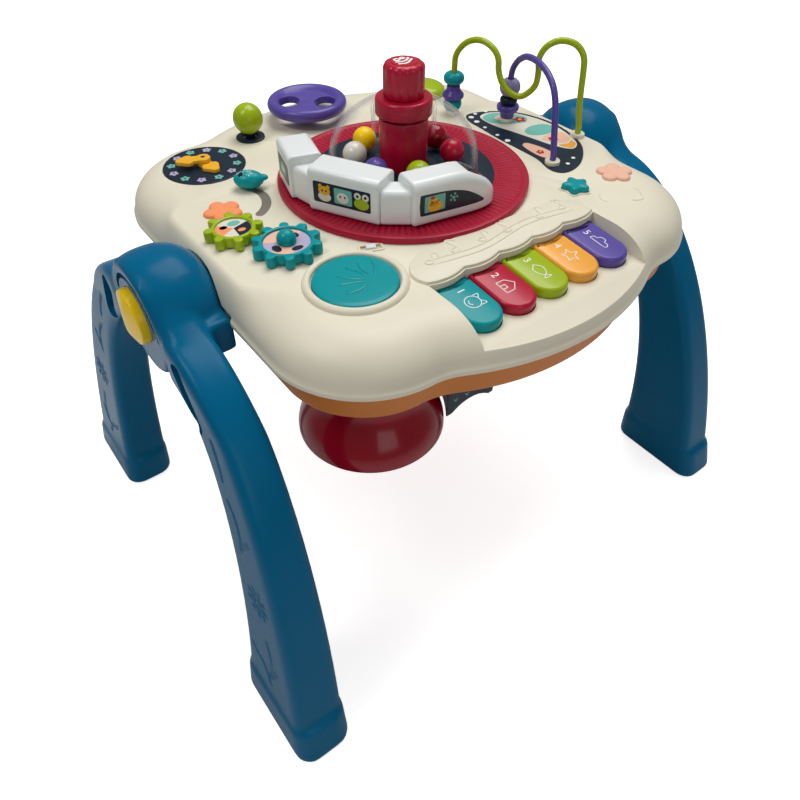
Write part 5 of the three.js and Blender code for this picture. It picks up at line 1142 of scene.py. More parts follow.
def on_track(part, at):
    """From a car's own frame to its place on the track: x, y and heading in degrees."""
    return moved(turned(part, math.radians(at[2])), (at[0], at[1], 0))


def section(wide, high, round_by, foot=1.0):
    """Upright rounded rectangle as y and z, from the foot up and over."""
    half = wide / 2
    corners = [(-half + foot, 0), (half - foot, 0), (half, foot), (half, high - round_by), (half - round_by, high),
               (round_by - half, high), (-half, high - round_by), (-half, foot)]
    closed = soften([*corners, corners[0], corners[1]], round_by * 0.9, 6)[6:]
    return even(np.vstack([closed, closed[:1]]), 73)[:-1]


def car(long, wide, high, end_round=1.2):
    """A section carried along X that shrinks over a rounding at both ends."""
    base, foot = section(wide, high, CAR_ROUND), foot_round(end_round, 6)
    stations = [(shrink, -long / 2 + x) for shrink, x in foot] + [(shrink, long / 2 - x) for shrink, x in foot[::-1]]
    rings = [np.column_stack([np.full(len(base), x), base[:, 0] * (1 - 2 * shrink / wide),
                              high / 2 + (base[:, 1] - high / 2) * (1 - 2 * shrink / high)])
             for shrink, x in stations]
    return moved(skin(np.stack(rings)), (0, 0, car_low))


def engine_roof(x):
    """Height of the engine's roof over its floor: level up to the middle, then one cubic curve down to the nose."""
    half, high = ENGINE_LONG / 2, car_top - car_low
    corners = np.array([(0, high), (half * 0.35, high), (half * 0.84, high * 0.66), (half, high * 0.22)])
    curve = cubic(corners, np.linspace(0, 1, 60))
    return np.where(x < 0, high, np.interp(x, curve[:, 0], curve[:, 1]))


def engine():
    """A section whose height falls and whose width narrows along X towards a round nose."""
    half, high = ENGINE_LONG / 2, car_top - car_low
    x = np.concatenate([-half + 1.8 * (1 - np.cos(np.linspace(0, QUARTER, 6))), np.linspace(-half + 2, 6, 8)[1:],
                        6 + (half - 6) * np.sin(np.linspace(0, QUARTER, 40))[1:]])
    back = np.concatenate([1.8 * (1 - np.sin(np.linspace(0, QUARTER, 6))), np.zeros(46)])[:len(x)]
    s = np.clip((x - 2) / (half - 2), 0, 1)
    roof = engine_roof(x)
    t = np.clip((x - half / 5) / (half * 0.8), 0, 1)
    width = np.maximum(CAR_WIDE * np.sqrt(np.clip(1 - t ** 2.5, 0, 1)), 0.6)
    low = high * 0.10 * np.clip((s - 0.9) / 0.1, 0, 1) ** 2
    base = section(1, 1, 0.13, 0.05)
    rings = []
    for xi, hi, wi, shrink, lo in zip(x, roof, width, back, low):
        wi, top = wi - 2 * shrink, hi - shrink
        rings.append(np.column_stack([np.full(len(base), xi), base[:, 0] * wi,
                                      lo + shrink + base[:, 1] * (top - lo - shrink)]))
    return moved(skin(np.stack(rings)), (0, 0, car_low))


DOME_KEEP_R, PLATE_KEEP_R, PLATE_KEEP_Z = 52.7, 64.2, 297.4
LINK_OVERLAP, LINK_NARROWER, LINK_LOWER = 3, 6.4, 6
car_high = car_top - car_low
keep_out = [lathe([(0, car_low - 1), (DOME_KEEP_R, car_low - 1), (DOME_KEEP_R, car_top + 3), (0, car_top + 3)], 96),
            ring_lathe([(46, car_low - 2), (PLATE_KEEP_R, car_low - 2), (PLATE_KEEP_R, PLATE_KEEP_Z),
                        (46, PLATE_KEEP_Z)], 96)]
link = car(LINK_LONG + LINK_OVERLAP, CAR_WIDE - LINK_NARROWER, car_high - LINK_LOWER, 1.0)
for name, part, at, node in (("engine_body", engine(), ENGINE_AT, "engine"),
                             ("coach_body", car(COACH_LONG, CAR_WIDE, car_high), COACH_AT, "coach"),
                             ("rear_body", car(REAR_LONG, CAR_WIDE, car_high), REAR_AT, "rear_car"),
                             ("front_link", link, FRONT_LINK_AT, "front_bellows"),
                             ("rear_link", link, REAR_LINK_AT, "rear_bellows")):
    piece(name, [on_track(part, at)], white, body="track", hides=[node], cutters=keep_out)

# %% [markdown]
# Dark window stickers sit on the cars' sides with small generic pictures, and a dark windscreen on the engine's nose.
# A sticker is a thin slab, and each picture is a few thin discs on top of it.

# %% Stickers on the train
STICK_THICK = 0.12


def on_side(part, at):
    """Lays a flat picture on a car's outer side: its x runs along the car and its y up from the car's floor."""
    points, faces = part
    x, y, z = points.T
    return on_track((np.stack([x, -(CAR_WIDE / 2 + z - 0.02), car_low + y], 1), faces), at)


def plate(low_x, high_x, low_y, high_y, corner):
    """A rounded rectangle's outline."""
    return rounded_rectangle(low_x, high_x, low_y, high_y, corner, 5)


def sticker(name, at, layers):
    """Layers of outlines, each a little higher than the one below, one piece per finish."""
    for level, (tag, finish, slot, outlines) in enumerate(layers):
        parts = [on_side(stack(o, [(0, 0), (0, STICK_THICK + 0.05 * level)]), at) for o in outlines]
        piece(f"{name}_{tag}", parts, finish, body="track")


window = plate(-21, 19.5, 7, 21, 1.2)
coach_layers = [
    ("panel", print_navy, "navy", [window]),
    ("mint", teal_print, "teal", [plate(-6, 6.5, 8.8, 19.2, 1.2)]),
    ("cream", ivory, "white", [oval(-13, 11.5, 4.6, 3.2), oval(0, 13.2, 4.2, 3.6), oval(10.5, 17, 2.4, 2.4),
                               oval(16, 17, 2.4, 2.4)]),
    ("gold", sand_yellow, "yellow", [oval(-13, 15.6, 4.2, 3.0), oval(-15.8, 18.4, 1.3, 1.3),
                                     oval(-10.2, 18.4, 1.3, 1.3)]),
    ("green", lime, "lime", [oval(13.2, 12, 5.2, 3.6)]),
    ("dots", print_navy, "navy", [oval(-14.4, 15.6, 0.6, 0.7), oval(-11.6, 15.6, 0.6, 0.7), oval(-1.6, 14, 0.6, 0.7),
                                  oval(1.6, 14, 0.6, 0.7), oval(10.5, 17, 0.9, 0.9), oval(16, 17, 0.9, 0.9)]),
]
sticker("coach_window", COACH_AT, coach_layers)
fin = smooth_line([(-27, 6.6), (-10, 6.2), (8, 6.2), (17, 6.8), (19, 7.8), (16, 10.4), (11, 13.8), (4, 17.2),
                   (-8, 19.8), (-27, 20.8)], 60)
fin = np.vstack([fin, [(-27.6, 20), (-28, 14), (-27.6, 8)]])
engine_layers = [
    ("panel", print_navy, "navy", [fin]),
    ("mint", teal_print, "teal", [plate(-24.5, -10, 8.4, 19, 0.6)]),
    ("chick", sand_yellow, "yellow", [oval(-17, 11.6, 5.2, 3.4), oval(-18.6, 14.6, 3.4, 2.8)]),
    ("comb", crimson, "crimson", [oval(-19, 17.6, 1.6, 1)]),
    ("stars", teal_print, "teal", [oval(-4 + 2.4 * math.cos(t), 14.6 + 2.4 * math.sin(t), 0.7, 0.7)
                                   for t in np.linspace(0, TURN, 6)[:-1]] + [oval(-4, 14.4, 1.1, 1.1)]),
    ("eye", print_navy, "navy", [oval(-19.6, 15, 0.5, 0.6), oval(-14.8, 15, 0.4, 0.5)]),
]
sticker("engine_window", ENGINE_AT, engine_layers)


def windscreen():
    """A dark patch on the roof: a grid of places along and across, each at the roof's height plus a little."""
    along, across = np.meshgrid(np.linspace(8, 26, 14), np.linspace(-1, 1, 13), indexing="ij")
    wide = np.interp(along, [8, 13, 20, 26], [7.4, 8.2, 7.2, 4.6])
    high = engine_roof(along) - 0.4 * abs(across) ** 4
    top = np.stack([along, across * wide, high + 0.25], -1)
    under = top - [0, 0, 0.5]
    count = top.size // 3
    points = np.concatenate([top.reshape(-1, 3), under.reshape(-1, 3)])
    i, j = np.meshgrid(np.arange(13), np.arange(12), indexing="ij")
    quad = np.stack([i * 13 + j, i * 13 + j + 1, (i + 1) * 13 + j + 1, (i + 1) * 13 + j], -1).reshape(-1, 4)
    edge = np.concatenate([np.arange(13), np.arange(1, 14) * 13 + 12, 13 * 13 + np.arange(11, -1, -1),
                           np.arange(12, 0, -1) * 13])
    side = np.stack([edge, np.roll(edge, -1), np.roll(edge, -1) + count, edge + count], -1)
    return moved((points, quad.tolist() + (quad[:, ::-1] + count).tolist() + side.tolist()), (0, 0, car_low))


piece("engine_windscreen", [on_track(windscreen(), ENGINE_AT)], glass_dark, body="track")
rear_layers = [
    ("panel", print_navy, "navy", [plate(-12, 13, 7, 21, 1.2)]),
    ("mint", teal_print, "teal", [oval(0, 13.6, 6.4, 4.4)]),
    ("cream", ivory, "white", [oval(-2, 13, 2.6, 2.2), oval(3, 13.8, 1.8, 1.5)]),
]
sticker("rear_window", REAR_AT, rear_layers)
print("pieces so far", len(made))

# %% [markdown]
# The popper stands in the middle of the ring. Its base is a dark turned plate, the tray with the balls turns on it,
# and the clear dome with its sunken well covers both. The knob's flutes are a cosine wave of its radius. Below it
# stands a coil spring with evenly spaced turns.

# %% Popper
DOME_WALL, WELL_R, WELL_DEEP, DOME_SHOULDER_UP = 1.8, 22, 18.5, 9.7
COLUMN_R, COLUMN_RISE, COLUMN_WALL = 16.5, 3, 2.4
COLLAR_BORE, COLLAR_SKIRT_R, COLLAR_THICK = 5.4, 16.9, 2.4
_, _, ring_top, ring_r = upright("popper_base")
_, tray_low, _, tray_r = upright("ball_tray")
_, dome_low, dome_top, dome_r = upright("clear_dome")
_, column_low, column_top, _ = upright("inner_column")
_, collar_low, collar_top, collar_r = upright("knob_collar")
_, _, knob_top, _ = upright("popper_knob")
_, spring_low, spring_top, _ = upright("knob_spring")
PLATE_BORE, PLATE_FOOT_R, PLATE_LOW = COLUMN_R + 0.3, 46, DECK_Z + 0.4
plate_profile = soften([(PLATE_BORE, PLATE_LOW), (PLATE_FOOT_R, PLATE_LOW), (PLATE_FOOT_R, ring_top - 1.2),
                        (ring_r, ring_top - 1.2), (ring_r, ring_top - 0.5), (dome_r + 1.2, ring_top - 0.02),
                        (PLATE_BORE, ring_top - 0.02), (PLATE_BORE, PLATE_LOW), (PLATE_FOOT_R, PLATE_LOW)], 0.4)
piece("popper_plate", [ring_lathe(plate_profile[5:-5], 128)], navy, hides=["popper_base"])
GROOVE_AT, GROOVE_R, GROOVE_DEEP, TRAY_BORE = 33.5, 9, 2.0, 17.2
groove = [(GROOVE_AT + GROOVE_R * math.cos(a), tray_low + 5.4 - GROOVE_DEEP * math.sin(a))
          for a in np.linspace(0.25, math.pi - 0.25, 14)]
tray_profile = [(TRAY_BORE, tray_low + 0.1), (tray_r, tray_low + 0.1), (tray_r, tray_low + 4.5),
                (tray_r - 2.5, tray_low + 4.6), *groove, (21, tray_low + 4.6), (TRAY_BORE, tray_low + 4.6)]
piece("tray", [ring_lathe(tray_profile, 128)], navy, body="balls", hides=["ball_tray"])

BALL_FINISH = {
    "yellow_ball": (yellow, "yellow"), "white_ball": (ball_white, "white"), "purple_ball": (purple, "purple"),
    "lime_ball": (lime, "lime"), "red_ball": (crimson, "red"), "crimson_ball": (bell_red, "crimson"),
}
for node, (finish, slot) in BALL_FINISH.items():
    at, size = where(node)
    a = np.linspace(-QUARTER, QUARTER, 33)
    ball = lathe(np.column_stack([size[0] / 2 * np.cos(a), size[0] / 2 * np.sin(a)]), 48, at)
    piece(f"{node}_round", [ball], finish, body="balls", hides=[node])


def dome_arc(radius, shoulder, top, steps=28):
    """Height over radius of the dome's wall: a squashed circle that ends at the well."""
    last = math.acos(WELL_R / radius)
    a = np.linspace(0, last, steps)
    return list(zip(radius * np.cos(a), shoulder + (top - shoulder) * np.sin(a) / math.sin(last)))


shoulder = dome_low + DOME_SHOULDER_UP
foot_band = [(dome_r, dome_low + 0.02), (dome_r, dome_low + 2.4), (dome_r - 0.5, dome_low + 2.9)]
outer_wall = dome_arc(dome_r - 0.5, shoulder, dome_top - 0.3)
inner_wall = dome_arc(dome_r - DOME_WALL, shoulder, dome_top - DOME_WALL)[::-1]
well_rim = [(WELL_R - 0.4, dome_top), (WELL_R - 1.2, dome_top), (WELL_R - DOME_WALL, dome_top - 0.5)]
well = [(WELL_R - DOME_WALL, dome_top - WELL_DEEP), (WELL_R - 0.3, dome_top - WELL_DEEP)]
dome_profile = [*foot_band, *outer_wall, *well_rim, *well, *inner_wall, (dome_r - DOME_WALL, dome_low + 0.02)]
piece("dome", [ring_lathe(dome_profile, 128)], clear, hides=["clear_dome"])

column_top += COLUMN_RISE
column_floor = column_low + COLUMN_WALL
column_profile = [(0, column_low), (COLUMN_R, column_low), (COLUMN_R, column_top),
                  (COLUMN_R - COLUMN_WALL, column_top), (COLUMN_R - COLUMN_WALL, column_floor), (0, column_floor)]
piece("column", [lathe(soften(column_profile, 0.6), 96)], crimson, hides=["inner_column"])
collar_under = [(COLLAR_BORE, collar_top - COLLAR_THICK), (COLLAR_SKIRT_R, collar_top - COLLAR_THICK)]
collar_profile = [*collar_under, (COLLAR_SKIRT_R, collar_low), (collar_r, collar_low), (collar_r, collar_top),
                  (12, collar_top), (COLLAR_BORE, collar_top), *collar_under]
collar = ring_lathe(soften(collar_profile, [0.8, 0.8, 0.8, 0.6, 2.4, 0.8, 0.8, 0.8, 0.8])[3:-3], 96)
piece("collar", [collar], crimson, body="plunger", hides=["knob_collar"])

KNOB_R, FLUTES, FLUTE_DEEP = 13.6, 12, 0.8
knob_low = collar_top + 0.3


def fluted_knob():
    """Profile round Z whose radius waves along the side: r falls by a share of |cos| between the flutes' crests."""
    side = [(KNOB_R - 0.4, knob_low + 0.1), (KNOB_R, knob_low + 1), (KNOB_R, knob_top - 5.4)]
    over = [(KNOB_R - 3.8 * (1 - math.cos(a)), knob_top - 4.3 + 3.7 * math.sin(a))
            for a in np.linspace(0.15, QUARTER, 9)]
    profile = np.array([(0, knob_low + 0.1), *side, *over, (8.8, knob_top - 0.75), (8.3, knob_top - 0.3),
                        (0, knob_top - 0.2)])
    share = np.concatenate([[0, 1, 1, 1], np.cos(np.linspace(0.15, QUARTER, 9)), [0, 0, 0]])
    a = np.linspace(0, TURN, 240, endpoint=False)
    wave = FLUTE_DEEP * (1 - np.abs(np.cos(FLUTES / 2 * a)) ** 1.2)
    r = profile[:, :1] - share[:, None] * wave
    return skin(np.stack([r * np.cos(a), r * np.sin(a), profile[:, 1:] + 0 * a], -1))


piece("knob", [fluted_knob()], crimson, body="plunger", hides=["popper_knob"], sharp=30)
mark = [np.array([(-6.2, -2.2), (-1.8, -4), (1.6, -3), (6.2, 0.2)]),
        np.array([(-6, 1.2), (-1, -0.6), (2.6, 0.6), (5.6, 3.2)]),
        circle(1.7, 14, (-2.6, 4.0)), circle(1.2, 12, (1.8, 4.4))]
mark_lines = [np.vstack([line, line[:1]]) if len(line) > 4 else line for line in mark]
piece("knob_mark", [moved(part, (0, 0, knob_top - 0.26)) for part in printed(mark_lines, 0.85, 0.14)], white_print,
      body="plunger")
SPRING_R, SPRING_TURNS, SPRING_WIRE, SPRING_TRAVEL = 8.6, 9, 0.8, 10.2
spring_long = spring_top - spring_low
t = np.linspace(0, 1, 300)
a = SPRING_TURNS * TURN * t
coil = np.column_stack([SPRING_R * np.cos(a), SPRING_R * np.sin(a), spring_low + 0.9 + (spring_long - 1.8) * t])
spring = piece("spring", [tube(coil, SPRING_WIRE, 8)], steel, hides=["knob_spring"])
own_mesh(spring)
print("popper done, spring", spring_long.round(1))

# %% [markdown]
# The clock is a dark disc with twelve flower-like marks in two pale colours and two yellow hands. Each mark is a thin
# wavy disc; the hands are flat blades with a hub and a round flower end.

# %% Clock
CLOCK_MARK_R = 23.4
clock_top = DECK_Z + 0.5


def clock_spot(hour):
    """The direction of an hour and its mark's place."""
    a = QUARTER - hour * TURN / 12
    return a, clock_at + CLOCK_MARK_R * np.array((math.cos(a), math.sin(a)))


piece("clock_plate", [lathe(soften([(0, DECK_Z - 1.1), (clock_r, DECK_Z - 1.1), (clock_r, clock_top - 0.2),
                                    (clock_r - 0.8, clock_top), (0, clock_top)], 0.5), 128, (*clock_at, 0)),
                      lathe([(0, DECK_Z), (2, DECK_Z), (2, DECK_Z + 6), (1.6, DECK_Z + 6.5), (0, DECK_Z + 6.6)], 32,
                            (*clock_at, 0))],
      navy, hides=["clock_face"])
for tag, finish, slot, first in (("mint", teal_print, "teal", 0), ("lilac", lilac_print, "lilac", 1)):
    marks = [stack(wavy(2.9, 0.5, 5, 40, spot, a), [(0, clock_top - 0.05), (0, clock_top + 0.12)])
             for a, spot in map(clock_spot, range(first, 12, 2))]
    piece(f"clock_marks_{tag}", marks, finish)
digits = [moved(number_part(str(hour), 3.6 if hour < 10 else 3.0, 0.04), (*clock_spot(hour)[1], clock_top + 0.16))
          for hour in range(1, 13)]
piece("clock_numbers", digits, print_navy)


def blade(low, high, long, turn, tip):
    """A hand: hub disc, a broad blade and a wavy flower end, all with a rounded upper edge."""
    hub = pillow(circle(5.2, 48), low, high, 0.7, 0.2)
    side = np.linspace(-4, long - 6, 20)
    arm = np.vstack([np.column_stack([np.full(20, 4.1), side]), np.column_stack([np.full(20, -4.1), side[::-1]])])
    arm = pillow(arm, low + 0.1, high - 0.1, 0.6)
    end = pillow(wavy(tip, 1.0, 3, 60, (0, long - tip), QUARTER), low + 0.05, high - 0.05, 0.7, 0.2)
    return placed([hub, arm, end], turn, clock_at)


for node, body, long, turn in (("hour_hand", "hours", 16.5, -82), ("minute_hand", "minutes", 18.5, 163)):
    _, low, high, _ = upright(node)
    piece(f"{node}_blade", blade(low, high, long, math.radians(turn) - QUARTER, 6), sand_yellow, body=body,
          hides=[node])
print("clock done")

# %% [markdown]
# The picture panel is a thin patch that follows the deck, with a dark ground, pale spots and a small landscape. Each
# colour is a patch of the same surface, a little higher than the one below it, so nothing flickers.

# %% Picture panel
PANEL = [(106, 53), (99, 43), (97.5, 26), (96, 4), (96, -17), (95.5, -37), (91, -54), (94, -63), (103, -65),
         (116, -61), (130, -51), (141, -38), (148, -20), (150.5, 0), (147, 20), (138, 37), (122, 49)]


def deck_height(x, y):
    """Height of the deck's top over the right side: level inside the rounding's run, then a quarter ellipse down."""
    run = run_at(y)
    into = np.clip((run - (half_x - LIP_OUT - abs(x))) / run, 0, 1)
    return edge_base + EDGE_RISE * np.sqrt(1 - into ** 2)


def patch(outline_points, lift, thick=0.3, rings=9):
    """A thin patch over the deck: rings shrink to the middle, each point at the deck's height plus the lift."""
    middle = np.mean(outline_points, axis=0)
    shares = np.linspace(1, 0.02, rings)[:, None, None]
    flat = middle + (np.array(outline_points) - middle) * shares
    height = deck_height(flat[..., 0], flat[..., 1])
    top = np.concatenate([flat, (height + lift)[..., None]], -1)
    under = np.concatenate([flat[:1], (height + lift - thick)[:1, :, None]], -1)
    return skin(np.concatenate([under, top]))


panel_outline = smooth_line(PANEL, 150, closed=True)[::-1]
piece("panel", [patch(panel_outline, 0.35, 1.4)], navy, hides=["picture_panel"])
area = lambda points, count=70: smooth_line(points, count, closed=True)
view = area([(111, 43), (123, 45), (136, 35), (144, 20), (147.5, 0), (145, -20), (138, -37), (128, -41), (121, -28),
             (117, -10), (113, 8), (109, 26)], 130)
sky = area([(112, 41), (123, 43), (134, 34), (140, 21), (134, 14), (124, 18), (115, 24), (110, 32)])
water = area([(121, 2), (131, 6), (143, 2), (145, -8), (136, -12), (126, -10), (120, -5)])
shore = area([(122, -16), (133, -13), (143, -16), (141, -26), (134, -31), (126, -27)])
soil = area([(125, -31), (133, -33), (138, -31), (137, -37), (129, -40)])
inner = area([(100, -34), (104, -42), (111, -40), (112, -28), (108, -14), (102, -16)])
cloud = area([(118, 33), (124, 36), (130, 31), (128, 25), (121, 26)], 50)
piece("panel_view", [patch(view, 0.5)], ivory)
piece("panel_teal", [patch(sky, 0.62), patch(water, 0.62)], teal_print)
piece("panel_peach", [patch(shore, 0.62), patch(inner, 0.5), patch(cloud, 0.74)], peach)
piece("panel_soil", [patch(soil, 0.62)], amber)
spots = [(100, -52), (108, -56), (118, -52), (103, 38), (101, 26), (99.5, 10), (99, -2), (112, 50), (122, 48.5),
         (105, 47)]
piece("panel_spots", [patch(circle(1.5 if k % 3 else 2.2, 20, spot), 0.52, rings=3) for k, spot in enumerate(spots)],
      white_print)
blooms = [((133, 20), 1.6, 4.4, 0.8, 5, 50), ((129, -21), 1.3, 3.6, 0.6, 6, 50), ((105, -31), 1, 2.6, 0.5, 5, 40)]
piece("panel_flowers", [patch(wavy(*shape, at), 0.76, rings=4) for at, _, *shape in blooms], crimson)
piece("panel_hearts", [patch(circle(heart, 20, at), 0.88, rings=3) for at, heart, *_ in blooms], sand_yellow)
print("panel done")

# %% [markdown]
# Two coloured wires rise out of bosses and bend back down, with beads on their ends. A wire is a round section along
# a smooth line through points that are shares of its span and height; the green one also bows sideways.

# %% Bead wires
WIRE_R, WIRE_DEEP = 2.3, 6
GREEN_SHARES = [
    (0, 0), (0, .06), (0, .12), (.018, .3), (.03, .5), (.039, .74), (.05, .87), (.085, .96), (.14, 1.015),
    (.214, 1.03), (.276, 1), (.325, .93), (.35, .82), (.342, .69), (.35, .54), (.4, .437), (.455, .394), (.52, .415),
    (.592, .505), (.632, .626), (.645, .757), (.686, .842), (.76, .895), (.839, .897), (.914, .85), (.968, .765),
    (.995, .68), (1, .6), (1, .4), (1, .2), (1, .1), (1, 0)]
PURPLE_SHARES = [
    (0, 0), (0, .06), (0, .12), (.036, .31), (.082, .57), (.125, .74), (.205, .87), (.345, .96), (.53, .99),
    (.72, .96), (.85, .88), (.93, .79), (.98, .7), (1, .6), (1, .4), (1, .2), (1, .1), (1, 0)]
WIRES = (("green_wire", (148, -28), (99, 64), 65, GREEN_SHARES, 9, lime, "lime"),
         ("purple_wire", (99.5, -48.5), (124, 26), 58, PURPLE_SHARES, 0, purple, "purple"))


def wire_path(right, left, height, shares, bow_by):
    """Points between two feet: along the span by share, up by share of the height, sideways by a cubed sine."""
    right, left = np.array(right, float), np.array(left, float)
    run = left - right
    aside = np.array((-run[1], run[0])) / np.linalg.norm(run)
    s, up = np.array(shares).T
    flat = right + run * s[:, None] + aside * (bow_by * np.sin(math.pi * s) ** 3)[:, None]
    return np.column_stack([flat, DECK_Z + up * height])


for name, right, left, height, shares, bow_by, finish, slot in WIRES:
    path = smooth_line(wire_path(right, left, height, shares, bow_by), 150)
    down = np.array([[0, 0, -WIRE_DEEP]])
    path = np.vstack([path[:1] + down, path, path[-1:] + down])
    piece(f"{name}_rod", [tube(path, WIRE_R, 20)], finish, hides=[name])
boss = [(2.4, DECK_Z - 2.4), (5.5, DECK_Z - 2.4), (5.5, DECK_Z + 2.6), (4.9, DECK_Z + 3), (2.4, DECK_Z + 3)]
boss = soften(boss, 0.6)
piece("wire_bosses", [lathe(boss, 48, (*at, 0)) for _, right, left, *_ in WIRES for at in (right, left)], cream)

# %% [markdown]
# Six beads sit on the wires: cups, barrels, a ring and a rosette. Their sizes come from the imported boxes.

# %% Beads
BEADS = {
    "teal_bead": ("top_green_bead", "oblate", teal, "teal"),
    "purple_cup_bead": ("middle_green_bead", "cup", purple, "purple"),
    "teal_barrel_bead": ("low_green_bead", "barrel", teal, "teal"),
    "rosette_bead": ("top_purple_bead", "rosette", lilac, "lilac"),
    "navy_ring_bead": ("middle_purple_bead", "barrel", navy, "navy"),
    "purple_base_bead": ("low_purple_bead", "bell", purple, "purple"),
}
BORE_R = 2.6


def bead(kind, radius, low, high, at):
    """A turned bead on its wire: profile by kind; a rosette's radius waves eight times."""
    tall = high - low
    if kind in ("cup", "bell"):
        small, wide = radius * 0.62, radius
        first, last = (wide, small) if kind == "cup" else (small, wide)
        outer = [(first, low), (first, low + tall * 0.3), (last, low + tall * 0.62), (last, high)]
        return ring_lathe(soften([(BORE_R, low), *outer, (BORE_R, high), (BORE_R, low), outer[0]], 1.4)[:-1], 64, at)
    a = np.linspace(-QUARTER, QUARTER, 25)
    power = 0.6 if kind == "barrel" else 0.9
    r = BORE_R + (radius - BORE_R) * np.cos(a) ** power
    z = (low + high) / 2 + tall / 2 * np.sin(a)
    turn = np.linspace(0, TURN, 96, endpoint=False)
    wave = 0.9 * (1 - np.abs(np.cos(4 * turn))) if kind == "rosette" else 0 * turn
    r = r[:, None] - np.cos(a)[:, None] * wave
    grid = np.stack([r * np.cos(turn), r * np.sin(turn), z[:, None] + 0 * turn], -1) + np.array(at)
    inner = np.stack([BORE_R * np.cos(turn), BORE_R * np.sin(turn), 0 * turn], -1)
    ends = [inner + (at[0], at[1], high), inner + (at[0], at[1], low)]
    return skin(np.concatenate([grid, np.stack(ends)]), wrap_rows=True)


for node, (body, kind, finish, slot) in BEADS.items():
    at, low, high, radius = upright(node)
    piece(f"{node}_round", [bead(kind, radius, low, high, (*at, 0))], finish, body=body, hides=[node])
print("beads done")

# %% [markdown]
# The two gears have round nubs instead of teeth and a shallow dish with a printed disc. The dish is part of the
# gear's stack of levels; nubs are short rounded pegs around its root circle.

# %% Gears
GEAR_LOW, GEAR_TOP, GEAR_ROUND, NUB_R, NUB_OUT, DISH_DEEP = DECK_Z + 0.3, DECK_Z + 7.7, 1.4, 3, 2.2, 1.6


def gear_outline(root, nubs, turn, steps=24):
    """Root circle with half-round nubs: beyond the root circle the outline follows each nub's own circle."""
    a = np.linspace(0, TURN, nubs * steps, endpoint=False) + turn
    off = (a - turn + math.pi / nubs) % (TURN / nubs) - math.pi / nubs
    centre = root + NUB_OUT
    inside = np.clip(NUB_R ** 2 - (centre * np.sin(off)) ** 2, 0, None)
    nub = np.where(inside > 0, centre * np.cos(off) + np.sqrt(inside), 0)
    r = np.maximum(root + 0.6, nub)
    return np.stack([r * np.cos(a), r * np.sin(a)], 1)


def gear(root, nubs, turn):
    """Bottom, side with rounded rim, flat rim, then down into the dish."""
    ring = gear_outline(root, nubs, turn)
    a = np.arctan2(ring[:, 1], ring[:, 0])
    round_ring = lambda r, z: np.column_stack([r * np.cos(a), r * np.sin(a), np.full(len(a), z)])
    shrunk = lambda inset, z: np.column_stack([ring * (1 - inset / np.linalg.norm(ring, axis=1, keepdims=True)),
                                               np.full(len(ring), z)])
    levels = [shrunk(0.8, GEAR_LOW), shrunk(0, GEAR_LOW + 0.8)]
    levels += [shrunk(inset, z) for inset, z in rim_round(GEAR_ROUND, GEAR_TOP, 6)]
    levels += [round_ring(root - 1.2, GEAR_TOP), round_ring(root - 1.8, GEAR_TOP - 0.3),
               round_ring(root - 2.0, GEAR_TOP - DISH_DEEP)]
    return skin(np.stack(levels))


LIME_GEAR, TEAL_GEAR = (-132, 0.2), (-113.6, -33.2)
mesh_angle = math.atan2(LIME_GEAR[1] - TEAL_GEAR[1], LIME_GEAR[0] - TEAL_GEAR[0])
lime_part = moved(gear(13.4, 8, mesh_angle + math.pi), (*LIME_GEAR, 0))
teal_part = moved(gear(16.7, 10, mesh_angle + math.pi / 10), (*TEAL_GEAR, 0))
piece("gear_small", [lime_part], lime, body="small_gear", hides=["lime_gear"])
piece("gear_big", [teal_part], teal, body="big_gear", hides=["teal_gear"])
dish_z = GEAR_TOP - DISH_DEEP


def wedge(radius, start, end):
    """A slice of a disc."""
    a = np.radians(np.linspace(start, end, 24))
    return np.vstack([radius * np.stack([np.cos(a), np.sin(a)], 1), [(0, 0)]])


for name, finish, slot, shapes in (
        ("small_disc", ivory, "cream", [(circle(11.2, 64), 0)]),
        ("small_disc_dark", print_navy, "navy", [(wedge(11.0, -95, 15), 1), (oval(-5, 4, 2.6, 2), 1)]),
        ("small_disc_salmon", salmon, "salmon", [(wedge(11.0, 130, 205), 1), (oval(3.5, -4.4, 2.6, 1.8), 2)]),
        ("small_disc_teal", teal_print, "teal", [(oval(2.6, 5.2, 4.2, 3), 1)]),
        ("big_disc", lilac_print, "lilac", [(circle(14.4, 64), 0)]),
        ("big_disc_peach", peach, "peach", [(wedge(14.2, 20, 150), 1), (wedge(14.2, 200, 260), 1)]),
        ("big_disc_dark", print_navy, "navy", [(oval(-8.6, -3, 2.6, 4), 2), (oval(8.2, 4, 2.2, 3), 2),
                                               (oval(2, -9.4, 3.8, 2.2), 2)])):
    at, body = (LIME_GEAR, "small_gear") if name.startswith("small") else (TEAL_GEAR, "big_gear")
    prints = [moved(stack(shape, [(0, dish_z - 0.1), (0, dish_z + 0.1 + 0.06 * level)]), (*at, 0))
              for shape, level in shapes]
    piece(name, prints, finish, body=body)
knob_at, _, knob_hi, knob_ball_r = upright("gear_knob")
a = np.linspace(-1.0, QUARTER, 26)
ball = list(zip(knob_ball_r * np.cos(a), knob_hi - knob_ball_r + knob_ball_r * np.sin(a)))
piece("gear_ball", [lathe([(0, dish_z), (3.6, dish_z), (3.4, ball[0][1]), *ball[1:]], 64, (*knob_at, 0))], teal,
      body="big_gear", hides=["gear_knob"])
print("gears done")

# %% [markdown]
# The small creature that runs along the curved slot is a teal bead with two black eyes and a few pale glitter specks.
# The grey bottom of the slot shows below it.

